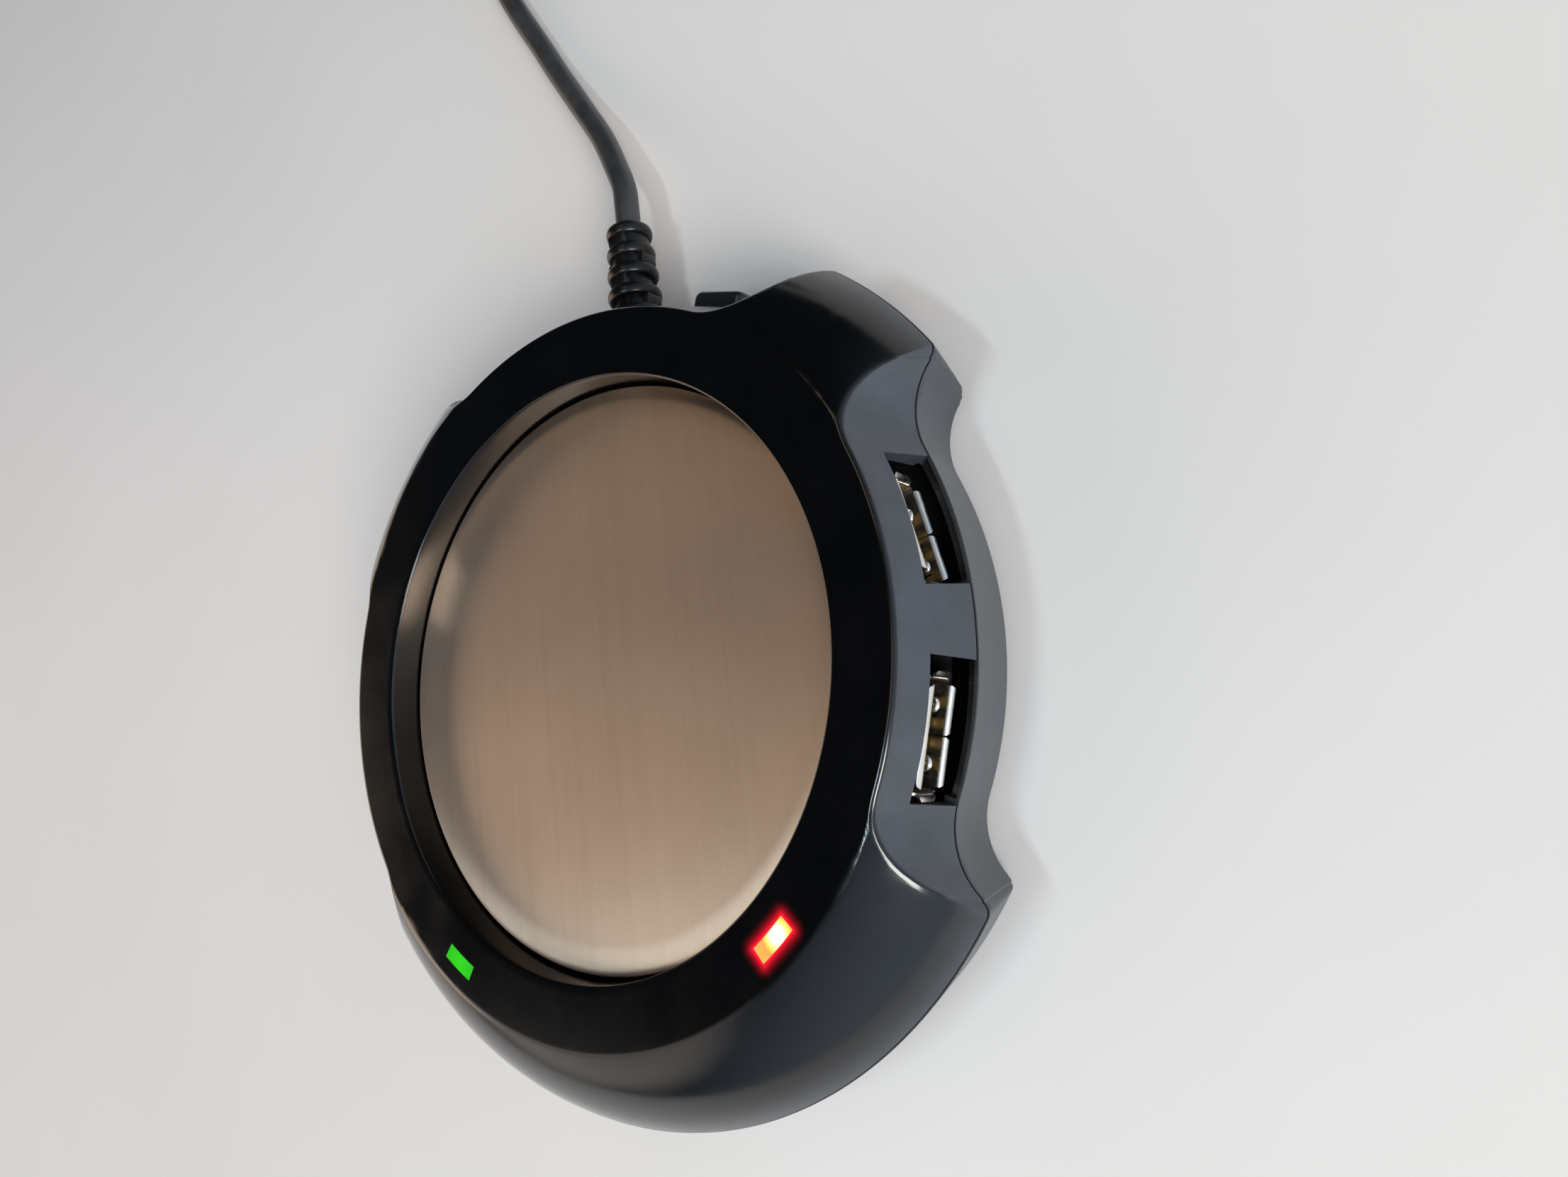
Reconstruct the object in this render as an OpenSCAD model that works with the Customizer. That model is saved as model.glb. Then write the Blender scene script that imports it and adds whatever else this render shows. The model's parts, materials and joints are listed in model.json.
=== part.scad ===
// Round four-port USB hub with a cup warmer in its top, its cord and its plug.
// Millimetres. The hub stands on z = 0 with its cord side towards +Y.

/* [Body] */
// Diameter across the lobes at the seam
body_d = 116.8; // [116:0.1:118]
// Diameter of the core at the seam
core_d = 100.8; // [100.4:0.1:101.2]
// Height of the top ring above the table
body_h = 25; // [24.8:0.1:25.4]
// Height of the seam between the shells
seam_z = 13; // [12.9:0.05:13.1]
// Thickness of the shell walls
wall = 2; // [1.8:0.1:2.2]

/* [Mug seat] */
// Diameter of the mug seat
seat_d = 77; // [76:0.5:77]
// Depth of the mug seat
seat_depth = 4.5; // [4.3:0.1:4.6]

/* [Ports] */
// Width of a port opening in the shell
port_w = 16.2; // [16:0.1:16.4]
// Height of a port opening in the shell
port_h = 7.1; // [7:0.1:7.2]
// Angle of the rear ports from the +X axis
port_rear_angle = 10.8; // [10:0.1:11]
// Angle of the front ports from the +X axis
port_front_angle = -17.6; // [-18:0.1:-17]

/* [Button] */
// Angle of the button from the +X axis
button_angle = 69.2; // [69:0.1:70]
// Width of the button cap
button_w = 9.4; // [9:0.1:9.6]
// Height of the button cap
button_h = 5; // [4.6:0.1:5]

/* [Cord] */
// Diameter of the cord
cord_d = 3.8; // [3.6:0.1:3.9]

/* [Hidden] */
$fn = 96;
eps = 0.01;

// The seat and the outline of the body have slightly different centres
seat_y = 3.12;
body_y = seat_y + 0.6;

// Outline of the body
body_r = body_d / 2;
core_r = core_d / 2;
upper_draft = 0.3;
lower_draft = 0.18;
lobe_draft = 0.27;
base_z = 1.5;
ring_margin = 0.3;
ring_r = core_r - upper_draft * (body_h - seam_z) + ring_margin;
crown_r = 22;
foot_round = 2.5;
seam_gap = 0.35;
seam_depth = 0.6;

// Cut-ins at the sides and at the rear, from one round end to the other
cut_round = 9.6;
cut_centre = core_r + cut_round;
right_cut = [-27, 20.6];
left_cut = [159.4, 207];
rear_cut = [59.6, 112];
cuts = [right_cut, left_cut, rear_cut];

// Mug seat and warmer stack, downwards from the plate
seat_r = seat_d / 2;
plate_top = body_h - seat_depth;
plate_t = 0.9;
plate_r = seat_r - 0.3;
heater_t = 1;
heater_r = 30;
pad_t = 1.5;
pad_r = 31;
retainer_t = 0.8;
heater_z = plate_top - plate_t - heater_t;
pad_z = heater_z - pad_t;
retainer_z = pad_z - retainer_t;
ledge_r = 33.5;
retainer_screw_r = 36.3;
cutout_r = 4;
cutout_h = 3.4;
lead_r = 32.2;
lead_d = 1.2;
lead_angles = [78, 84];
capacitor_h = 2.9;

// Board and what stands on it
board_t = 1.6;
board_top = seam_z + 0.3;
board_z = board_top - board_t;
board_r = 46.4;
board_post_r = 30;
board_post_angles = [35, 145, 215, 325];

// Receptacles, each in its own frame with +X out of the port
socket_w = 13.1;
socket_h = 5.7;
socket_t = 0.3;
socket_back = 37.3;
socket_front = 47.5;
socket_z = board_top + socket_h / 2;
socket_shift = 0.8;
lip_len = 0.9;
lip_out = 0.55;
tongue_w = 11.1;
tongue_t = 1.6;
tongue_top = 2.2;
tongue_front = 46.3;
block_len = 1.9;
contact_pitch = 2.3;
contact_w = 1;
contact_t = 0.2;
tab_len = 1.8;
tab_drop = 2.4;
tab_places = [39.4, 43.6];

// Lamps and their windows in the ring
window_in = 42.4;
window_out = 44.4;
window_mid = (window_in + window_out) / 2;
window_from = 49.2;
window_to = 56.3;
window_angle = (window_from + window_to) / 2;
window_gap = 0.05;
window_t = 1.8;
pipe_d = 2;
lamp_h = 1.4;

// Closing screws, in the lobes
case_screw_r = 51;
case_screw_angles = [-60, -120, 40.2, 135.5];
boss_r = 3.5;
screw_r = 1.25;
boss_top = seam_z + 5;
boss_split = seam_z - 2;

// Button and switch, in a frame with +X outwards and its origin on the body axis
button_z = 9.4;
button_face = 53.4;
button_crown_r = 16;
button_round = 1.4;
button_back = 46.7;
button_clear = 0.3;
flange_t = 0.9;
flange_edge = 1;
stem_w = 3;
switch_front = 44;
switch_len = 9;
switch_w = 8.4;
switch_z = 6.6;

// Strain relief and cord
relief_z = 7.4;
relief_base_r = 4.45;
relief_tip_r = 3.5;
relief_start = 53.18;
relief_end = 72.58;
relief_neck_r = 3.2;
relief_inside = 48.18;
relief_flange = 2;
relief_flange_r = 3.8;
rib_count = 5;
cord_r = cord_d / 2;
lead_end = 35.78;
wire_d = 0.8;
wire_pitch = 0.9;
clamp_y = 41.78;
clamp_half = 6.5;
clamp_t = 0.9;
connector_y = 22.78;
connector_size = [9, 6, 4.6];
connector_z = board_z - connector_size[2];

// The cord's route from the tip of the relief to the coil
route = [
    [0, relief_end, relief_z], [0, 76.18, relief_z], [-0.6, 79.88, 6.9], [-2.4, 84.28, 6.1], [-5.6, 91.38, 4.9],
    [-9.6, 98.28, 3.7], [-13.7, 105.28, 2.7], [-17.4, 111.88, 2.1], [-20.9, 118.78, 1.9],
    [-24.5, 125.68, 1.9], [-27.6, 132.08, 1.9], [-30.4, 138.78, 1.9], [-32.4, 145.78, 1.9]
];
coil_centre = [-8, 158.78];
coil_mid_r = 21.2;
coil_turns_wide = 3;
coil_turns_high = 3;
coil_half_w = coil_turns_wide * cord_r;
coil_h = coil_turns_high * cord_d;
tie_w = 5;
tie_t = 0.8;
tie_angle = 20;

// Plug, in its own frame with +X towards its tip
plug_at = [coil_centre[0] + 15.5, coil_centre[1] + 25];
plug_z = 4;
plug_tail = 10;
plug_len = 22;
plug_w = 15.5;
plug_h = 7.8;
plug_metal = 12;
plug_metal_w = 12;
plug_metal_h = 4.5;

// The cord's tail out of the coil, as distance from the plug's start and height
tail_steps = [[-12.5, 5.7], [-7.5, 5.6], [-4, 4.9], [-2, 4.4], [-1, 4.3], [0, 4.3]];
tail_route = [for (p = tail_steps) [plug_at[0] + p[0], plug_at[1], p[1]]];

// Feet
foot_r = 4.5;
foot_sink = 0.8;
foot_ring = 40;
foot_angles = [-60, -120, 50, 130];

function ring_point(radius, angle) = [radius * cos(angle), radius * sin(angle)];
function unit(v) = v / norm(v);
function core_at(z) = z > seam_z ? core_r - upper_draft * (z - seam_z)
                                 : core_r - lower_draft * (seam_z - z);

module at_body() { translate([0, body_y, 0]) children(); }
module at_seat() { translate([0, seat_y, 0]) children(); }

// Places its children on a circle
module around(radius, angles) {
    for (angle = angles)
        rotate([0, 0, angle]) translate([radius, 0, 0]) children();
}

// Wedge between two angles, as a polygon
module wedge(from, to, reach) {
    steps = 6;
    polygon(concat([[0, 0]], [for (i = [0:steps]) ring_point(reach, from + (to - from) * i / steps)]));
}

// Outline of a cut-in at the seam: two round ends and the core between them
function cut_outline(ends, grow) =
    let (inner = core_r - grow, turn = cut_centre - inner, step = 10, arc = 2)
    concat(
        [for (t = [0:step:180]) ring_point(cut_centre, ends[0]) + ring_point(turn, ends[0] - t)],
        [for (t = [ends[0] + arc:arc:ends[1] - arc / 2]) ring_point(inner, t)],
        [for (t = [180:-step:0]) ring_point(cut_centre, ends[1]) + ring_point(turn, ends[1] + t)]
    );

// One cut-in between two heights, grown inwards by a wall's thickness
module cut_in(ends, z0, z1, grow) {
    bottom = core_at(z0) / core_r;
    top = core_at(z1) / core_r;
    translate([0, 0, z0]) linear_extrude(z1 - z0, scale = top / bottom)
        scale(bottom) polygon(cut_outline(ends, grow));
}

// Half section of the upper body: a flat ring and a crowned lobe
module upper_profile(inset) {
    rise = body_h - seam_z;
    run = body_r - ring_r;
    chord = norm([run, rise]);
    back = sqrt(crown_r * crown_r - chord * chord / 4);
    centre = [ring_r + run / 2 - back * rise / chord, seam_z + rise / 2 - back * run / chord];
    intersection() {
        translate([0, seam_z]) square([body_r + crown_r, rise - inset]);
        union() {
            translate([0, seam_z]) square([ring_r - crown_r / 4, rise - inset]);
            translate(centre) circle(r = crown_r - inset, $fn = 180);
        }
    }
}

// Half section of the lower body: drafted, with a round lower edge
module lower_profile(inset) {
    height = seam_z - base_z;
    slope = sqrt(1 + lobe_draft * lobe_draft);
    edge = body_r - lobe_draft * (height - foot_round) - foot_round * slope;
    touch = [edge + foot_round / slope, base_z + foot_round * (1 - lobe_draft / slope)];
    difference() {
        union() {
            polygon([[0, base_z], [edge, base_z], touch, [body_r, seam_z], [0, seam_z]]);
            translate([edge, base_z + foot_round]) circle(r = foot_round);
        }
        if (inset > 0) {
            translate([0, base_z - 1]) square([body_r, 1 + inset]);
            polygon([[body_r - inset * slope, seam_z + eps], [body_r + 5, seam_z + eps],
                     [body_r + 5, base_z],
                     [body_r - inset * slope - lobe_draft * height, base_z]]);
        }
    }
}

module upper_solid(inset) {
    difference() {
        rotate_extrude($fn = 180) upper_profile(inset);
        for (ends = cuts)
            cut_in(ends, seam_z - eps, body_h + 1, inset);
    }
}

module lower_solid(inset) {
    difference() {
        rotate_extrude($fn = 180) lower_profile(inset);
        for (ends = cuts)
            cut_in(ends, base_z - 0.5, seam_z + eps, inset);
    }
}

// Places its children at a port: +X out of the port, mirrored for the left side
module at_port(side, angle) {
    at_seat() mirror([side == "left" ? 1 : 0, 0, 0]) rotate([0, 0, angle]) children();
}

module at_all_ports() {
    for (side = ["right", "left"])
        for (angle = [port_rear_angle, port_front_angle])
            at_port(side, angle) children();
}

module at_button() { at_body() rotate([0, 0, button_angle]) children(); }

// Window in the ring, on the right-hand side, grown by a clearance
module window_sector(z, height, grow) {
    side = grow / window_mid * 180 / PI;
    translate([0, 0, z]) linear_extrude(height) intersection() {
        difference() {
            circle(r = window_out + grow, $fn = 180);
            circle(r = window_in - grow, $fn = 180);
        }
        wedge(-window_to - side, -window_from + side, 60);
    }
}

module upper_shell() {
    color([0.02, 0.02, 0.022]) difference() {
        union() {
            difference() {
                at_body() upper_solid(0);
                difference() {
                    at_body() upper_solid(wall);
                    at_seat() translate([0, 0, seam_z]) cylinder(h = 20, r = seat_r + wall, $fn = 180);
                }
                // The wall of the seat and the ledge under the plate end here
                at_seat() translate([0, 0, seam_z - 1])
                    cylinder(h = pad_z - seam_z + 1, r = seat_r + wall + eps, $fn = 180);
            }
            at_body() around(case_screw_r, case_screw_angles)
                translate([0, 0, seam_z]) cylinder(h = boss_top - seam_z, r = boss_r);
        }
        // Mug seat and the room below the plate
        at_seat() translate([0, 0, plate_top - plate_t]) cylinder(h = 20, r = seat_r, $fn = 180);
        at_seat() translate([0, 0, seam_z - 1]) cylinder(h = 20, r = ledge_r, $fn = 180);
        at_seat() around(retainer_screw_r, [45, 135, 225, 315])
            translate([0, 0, pad_z - 1]) cylinder(h = 3.1, r = 1);
        // Room under the seat wall for the receptacles
        at_all_ports() translate([socket_back - 1, -port_w / 2, seam_z - 1])
            cube([8, port_w, socket_z + socket_h / 2 + 1.3 - seam_z]);
        at_all_ports() translate([ledge_r - 3, -port_w / 2, seam_z - 1])
            cube([seat_r - ledge_r + 2.5, port_w, plate_top - plate_t + eps - seam_z + 1]);
        // Port openings
        at_all_ports() translate([44, -port_w / 2, seam_z - 1]) cube([12, port_w, port_h + 1]);
        // Windows
        at_seat() window_sector(body_h - 4, 5, window_gap);
        at_seat() mirror([1, 0, 0]) window_sector(body_h - 4, 5, window_gap);
        at_body() around(case_screw_r, case_screw_angles)
            translate([0, 0, seam_z - 1]) cylinder(h = boss_top - seam_z, r = screw_r);
        // Shadow line along the seam
        difference() {
            translate([-80, -80, seam_z - 1]) cube([160, 160, 1 + seam_gap]);
            at_body() linear_extrude(40) seam_outline();
        }
    }
}

// Outline of the seam, set in by the depth of the shadow line
module seam_outline() {
    difference() {
        circle(r = body_r - seam_depth, $fn = 180);
        for (ends = cuts) polygon(cut_outline(ends, seam_depth));
    }
}

module lower_shell() {
    color([0.025, 0.025, 0.028]) difference() {
        union() {
            difference() {
                at_body() lower_solid(0);
                at_body() lower_solid(wall);
            }
            at_body() around(case_screw_r, case_screw_angles)
                translate([0, 0, base_z + 1]) cylinder(h = seam_z - base_z - 1, r = boss_r);
            at_body() around(board_post_r, board_post_angles)
                translate([0, 0, base_z + 1]) cylinder(h = board_z - base_z - 1, r = 3);
            // Saddle and posts of the cord clamp
            translate([-clamp_half - 2, clamp_y - 2.5, base_z + 1])
                cube([2 * clamp_half + 4, 5, relief_z + cord_r - base_z - 1]);
        }
        at_body() around(case_screw_r, case_screw_angles) {
            translate([0, 0, base_z - 1]) cylinder(h = 20, r = screw_r + 0.2);
            translate([0, 0, base_z - 1]) cylinder(h = boss_split - base_z - 4, r = 2.6);
        }
        at_body() around(board_post_r, board_post_angles)
            translate([0, 0, board_z - 6]) cylinder(h = 8, r = 1);
        translate([0, clamp_y, relief_z]) rotate([90, 0, 0]) cylinder(h = 8, r = cord_r, center = true);
        translate([-cord_r, clamp_y - 4, relief_z]) cube([cord_d, 8, 5]);
        for (side = [-1, 1])
            translate([side * (clamp_half - 0.5), clamp_y, relief_z + cord_r - 4]) cylinder(h = 6, r = 0.8);
        // Slot for the relief's neck, open to the seam above
        translate([0, 40, relief_z]) rotate([-90, 0, 0]) cylinder(h = 20, r = relief_neck_r + 0.05);
        translate([-relief_neck_r - 0.05, 45, relief_z]) cube([2 * relief_neck_r + 0.1, 12, 10]);
        // Seat for the relief's base in the sloping wall
        translate([0, relief_start, relief_z]) rotate([-90, 0, 0]) cylinder(h = 5, r = relief_base_r + 0.05);
        // Button opening
        at_button() translate([button_back - 2, -button_w / 2 - button_clear,
                               button_z - button_h / 2 - button_clear])
            cube([10, button_w + 2 * button_clear, button_h + 2 * button_clear]);
        // Rim thinned under each port
        at_all_ports() translate([40, -port_w / 2, seam_z - 0.9]) cube([8.7, port_w, 2]);
        // Recesses for the feet
        at_seat() around(foot_ring, foot_angles)
            translate([0, 0, base_z - 1]) cylinder(h = 1 + foot_sink, r = foot_r);
    }
}

module warming_plate() {
    color([0.6, 0.57, 0.52]) at_seat() translate([0, 0, plate_top - plate_t])
        cylinder(h = plate_t, r = plate_r, $fn = 180);
}

module heater_element() {
    color([0.7, 0.45, 0.12]) at_seat() translate([0, 0, heater_z]) {
        cylinder(h = heater_t, r = heater_r);
        linear_extrude(heater_t) intersection() {
            circle(r = lead_r + 0.9);
            wedge(lead_angles[0] - 3, lead_angles[1] + 3, 60);
        }
    }
}

module insulating_pad() {
    color([0.85, 0.83, 0.76]) at_seat() translate([0, 0, pad_z]) difference() {
        cylinder(h = pad_t, r = pad_r);
        translate([0, 0, -1]) cylinder(h = pad_t + 2, r = cutout_r + 0.5);
    }
}

module heater_retainer() {
    color([0.6, 0.6, 0.62]) at_seat() translate([0, 0, retainer_z]) difference() {
        union() {
            cylinder(h = retainer_t, r = pad_r);
            for (angle = [45, 135, 225, 315])
                rotate([0, 0, angle]) translate([20, -4.5, 0]) cube([17.5, 9, retainer_t]);
        }
        translate([0, 0, -1]) cylinder(h = retainer_t + 2, r = cutout_r + 0.5);
        around(retainer_screw_r, [45, 135, 225, 315]) translate([0, 0, -1]) cylinder(h = 3, r = 1.15);
    }
}

// A pan-head screw that points up, its head below z = 0
module screw_up(radius, length, head_r, head_h) {
    cylinder(h = length, r = radius);
    difference() {
        translate([0, 0, -head_h]) cylinder(h = head_h, r = head_r);
        for (turn = [0, 90]) rotate([0, 0, turn])
            translate([-head_r * 0.6, -0.25, -head_h - 1]) cube([head_r * 1.2, 0.5, 1.4]);
    }
}

module retainer_screws() {
    color([0.55, 0.55, 0.57]) at_seat() around(retainer_screw_r, [45, 135, 225, 315])
        translate([0, 0, retainer_z]) screw_up(0.98, 2.6, 1.9, 1.1);
}

module thermal_cutout() {
    color([0.75, 0.75, 0.76]) at_seat() translate([0, 0, heater_z - cutout_h])
        cylinder(h = cutout_h, r = cutout_r);
}

module heater_leads() {
    color([0.7, 0.1, 0.08]) at_seat() around(lead_r, lead_angles)
        translate([0, 0, board_top]) cylinder(h = heater_z - board_top, d = lead_d);
}

module main_board() {
    color([0.03, 0.03, 0.035]) difference() {
        at_body() translate([0, 0, board_z]) cylinder(h = board_t, r = board_r, $fn = 180);
        at_body() around(board_post_r, board_post_angles)
            translate([0, 0, board_z - 1]) cylinder(h = 4, r = 1.2);
        // Notch that the push cap moves into
        at_button() translate([switch_front - 0.2, -button_w / 2 - flange_edge - 0.6, board_z - 1])
            cube([5, button_w + 2 * flange_edge + 1.2, 4]);
        at_all_ports() for (x = tab_places, side = [-1, 1])
            translate([x - 0.1, side * (socket_w / 2 - socket_t / 2) - socket_shift - 0.25, board_z - 1])
                cube([tab_len + 0.2, 0.5, 4]);
    }
}

module board_screws() {
    color([0.6, 0.6, 0.62]) at_body() around(board_post_r, board_post_angles)
        translate([0, 0, board_top]) mirror([0, 0, 1]) screw_up(0.98, 5.5, 2, 1.2);
}

// Receptacle shell: a sheet metal tube with four flared lips and two tabs a side
module socket_shell() {
    color([0.8, 0.78, 0.74]) translate([0, -socket_shift, socket_z]) {
        difference() {
            translate([socket_back, -socket_w / 2, -socket_h / 2])
                cube([socket_front - socket_back - lip_len, socket_w, socket_h]);
            translate([socket_back - 1, -socket_w / 2 + socket_t, -socket_h / 2 + socket_t])
                cube([20, socket_w - 2 * socket_t, socket_h - 2 * socket_t]);
        }
        for (turn = [0, 180]) rotate([turn, 0, 0]) lip(socket_h / 2, socket_w - 2.4);
        for (turn = [90, 270]) rotate([turn, 0, 0]) lip(socket_w / 2, socket_h - 1.6);
        for (x = tab_places, side = [-1, 1])
            translate([x, side * (socket_w - socket_t) / 2 - socket_t / 2, -socket_h / 2 - tab_drop])
                cube([tab_len, socket_t, tab_drop + 0.5]);
    }
}

// One flared lip on the wall at a distance above the middle
module lip(distance, width) {
    translate([socket_front - lip_len, 0, distance - socket_t]) rotate([90, 0, 0])
        linear_extrude(width, center = true)
            polygon([[-eps, 0], [lip_len, lip_out], [lip_len, lip_out + socket_t], [-eps, socket_t]]);
}

module socket_tongue() {
    color([0.05, 0.05, 0.05]) translate([0, -socket_shift, socket_z]) {
        translate([socket_back, -socket_w / 2 + socket_t + 0.02, -socket_h / 2 + socket_t + 0.02])
            cube([block_len, socket_w - 2 * socket_t - 0.04, socket_h - 2 * socket_t - 0.04]);
        translate([socket_back, -tongue_w / 2, tongue_top - tongue_t])
            cube([tongue_front - socket_back, tongue_w, tongue_t]);
    }
}

module socket_contacts() {
    color([0.85, 0.62, 0.2]) translate([0, -socket_shift, socket_z])
        for (i = [-1.5, -0.5, 0.5, 1.5])
            translate([socket_back + block_len + 0.2, i * contact_pitch - contact_w / 2,
                       tongue_top - tongue_t - contact_t])
                cube([tongue_front - socket_back - block_len - 1, contact_w, contact_t]);
}

module usb_shell_right_rear() { at_port("right", port_rear_angle) socket_shell(); }
module usb_shell_right_front() { at_port("right", port_front_angle) socket_shell(); }
module usb_shell_left_rear() { at_port("left", port_rear_angle) socket_shell(); }
module usb_shell_left_front() { at_port("left", port_front_angle) socket_shell(); }
module usb_tongue_right_rear() { at_port("right", port_rear_angle) socket_tongue(); }
module usb_tongue_right_front() { at_port("right", port_front_angle) socket_tongue(); }
module usb_tongue_left_rear() { at_port("left", port_rear_angle) socket_tongue(); }
module usb_tongue_left_front() { at_port("left", port_front_angle) socket_tongue(); }
module usb_contacts_right_rear() { at_port("right", port_rear_angle) socket_contacts(); }
module usb_contacts_right_front() { at_port("right", port_front_angle) socket_contacts(); }
module usb_contacts_left_rear() { at_port("left", port_rear_angle) socket_contacts(); }
module usb_contacts_left_front() { at_port("left", port_front_angle) socket_contacts(); }

module hub_controller() {
    color([0.05, 0.05, 0.05]) translate([-12, -8, board_top]) cube([10, 10, 1.4]);
}

module crystal() {
    color([0.75, 0.75, 0.76]) translate([4, -6, board_top]) cube([5, 3.2, 1.2]);
}

module capacitors() {
    color([0.1, 0.1, 0.35]) at_body() around(41.5, [62, 118, -75, -105])
        translate([0, 0, board_top]) cylinder(h = capacitor_h, r = 2.5);
}

module led_window() {
    window_sector(body_h - window_t - 0.7, window_t + 0.7, 0);
    rotate([0, 0, -window_angle]) translate([window_mid, 0, board_top + lamp_h])
        cylinder(h = body_h - board_top - lamp_h - window_t, d = pipe_d - 0.1);
}

module led_window_right() { color([0.95, 0.12, 0.08]) at_seat() led_window(); }

module led_window_left() { color([0.1, 0.8, 0.3]) at_seat() mirror([1, 0, 0]) led_window(); }

module lamp() {
    rotate([0, 0, -window_angle]) translate([window_mid - 0.8, -1.6, board_top]) cube([1.6, 3.2, lamp_h]);
}

module led_red() { color([1, 0.3, 0.2]) at_seat() lamp(); }

module led_green() { color([0.3, 1, 0.4]) at_seat() mirror([1, 0, 0]) lamp(); }

module switch_body() {
    color([0.12, 0.12, 0.13]) at_button() difference() {
        translate([switch_front - switch_len, -switch_w / 2, switch_z])
            cube([switch_len, switch_w, board_z - switch_z]);
        translate([switch_front - 5, -stem_w / 2 - 0.15, button_z - stem_w / 2 - 0.15])
            cube([6, stem_w + 0.3, stem_w + 0.3]);
    }
}

// Push cap with a crowned face, a flange inside the wall and a stem into the switch
module power_button() {
    color([0.03, 0.03, 0.03]) at_button() {
        intersection() {
            translate([button_back - flange_t, 0, button_z]) rotate([90, 0, 90])
                linear_extrude(10) rounded_rectangle(button_w, button_h, button_round);
            translate([button_face - button_crown_r, 0, 0]) cylinder(h = 20, r = button_crown_r, $fn = 180);
        }
        translate([button_back - flange_t, -button_w / 2 - flange_edge, button_z - button_h / 2 - 0.2])
            cube([flange_t, button_w + 2 * flange_edge, button_h + 0.4]);
        translate([switch_front - 3, -stem_w / 2, button_z - stem_w / 2])
            cube([button_back - switch_front + 2.5, stem_w, stem_w]);
    }
}

module rounded_rectangle(width, height, radius) {
    square([width - 2 * radius, height], center = true);
    square([width, height - 2 * radius], center = true);
    for (x = [-1, 1], y = [-1, 1])
        translate([x * (width / 2 - radius), y * (height / 2 - radius)]) circle(r = radius, $fn = 48);
}

// Ribbed sleeve with a neck in the wall and a flange inside it
module strain_relief() {
    length = relief_end - relief_start;
    rib = length / (2 * rib_count + 1);
    color([0.03, 0.03, 0.03]) difference() {
        translate([0, 0, relief_z]) rotate([-90, 0, 0]) union() {
            translate([0, 0, relief_inside]) cylinder(h = relief_flange, r = relief_flange_r);
            translate([0, 0, relief_inside + relief_flange])
                cylinder(h = relief_start - relief_inside - relief_flange, r = relief_neck_r);
            translate([0, 0, relief_start])
                cylinder(h = length - 1, r1 = relief_base_r, r2 = relief_tip_r);
            translate([0, 0, relief_end - 1]) cylinder(h = 1, r1 = relief_tip_r, r2 = relief_tip_r - 0.8);
        }
        for (i = [0:rib_count - 1], side = [-1, 1])
            translate([side * 4.2, relief_start + (2 * i + 1.6) * rib, relief_z])
                translate([-1.9, -rib / 2, -5]) cube([3.8, rib, 10]);
    }
}

module cord_inner() {
    color([0.05, 0.05, 0.05]) translate([0, lead_end, relief_z]) rotate([-90, 0, 0])
        cylinder(h = relief_inside - lead_end, r = cord_r - 0.02);
    color([0.6, 0.1, 0.1]) for (i = [-1.5, -0.5, 0.5, 1.5])
        translate([i * wire_pitch, connector_y + connector_size[1], relief_z]) rotate([-90, 0, 0])
            cylinder(h = lead_end - connector_y - connector_size[1] + 0.5, d = wire_d);
}

module cord_connector() {
    color([0.9, 0.88, 0.8]) translate([-connector_size[0] / 2, connector_y, connector_z])
        cube(connector_size);
}

module cord_clamp() {
    color([0.1, 0.1, 0.1]) translate([0, clamp_y, relief_z + cord_r]) difference() {
        translate([-clamp_half - 2, -2.5, 0]) cube([2 * clamp_half + 4, 5, clamp_t]);
        for (side = [-1, 1]) translate([side * (clamp_half - 0.5), 0, -1]) cylinder(h = 3, r = 0.9);
    }
}

module clamp_screws() {
    color([0.6, 0.6, 0.62]) for (side = [-1, 1])
        translate([side * (clamp_half - 0.5), clamp_y, relief_z + cord_r + clamp_t])
            mirror([0, 0, 1]) screw_up(0.78, 4, 1.5, 0.9);
}

module case_screws() {
    color([0.5, 0.5, 0.52]) at_body() around(case_screw_r, case_screw_angles)
        translate([0, 0, boss_split - 5]) screw_up(screw_r - 0.02, 10, 2.4, 1.6);
}

module rubber_feet() {
    color([0.06, 0.06, 0.06]) at_seat() around(foot_ring, foot_angles)
        cylinder(h = base_z + foot_sink, r = foot_r - 0.02);
}

// Tube swept along points, with its rings square to the route
module tube(points, radius, sides) {
    count = len(points);
    tangents = [for (i = [0:count - 1])
        unit(points[min(i + 1, count - 1)] - points[max(i - 1, 0)])];
    rings = [for (i = [0:count - 1])
        let (across = unit(cross(tangents[i], [0, 0, 1])), up = cross(across, tangents[i]))
        for (j = [0:sides - 1])
            points[i] + radius * (across * cos(360 * j / sides) + up * sin(360 * j / sides))];
    walls = [for (i = [0:count - 2], j = [0:sides - 1])
        [i * sides + j, (i + 1) * sides + j,
         (i + 1) * sides + (j + 1) % sides, i * sides + (j + 1) % sides]];
    first = [for (j = [0:sides - 1]) j];
    last = [for (j = [0:sides - 1]) count * sides - 1 - j];
    polyhedron(points = rings, faces = concat(walls, [first], [last]), convexity = 6);
}

// The free run to the coil, and the tail from the coil to the plug
module cord() {
    color([0.04, 0.04, 0.04]) {
        tube(route, cord_r, 8);
        tube(tail_route, cord_r, 8);
    }
}

module cord_coil() {
    color([0.04, 0.04, 0.04]) translate(coil_centre) rotate_extrude()
        translate([coil_mid_r - coil_half_w, 0]) square([2 * coil_half_w, coil_h]);
}

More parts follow.
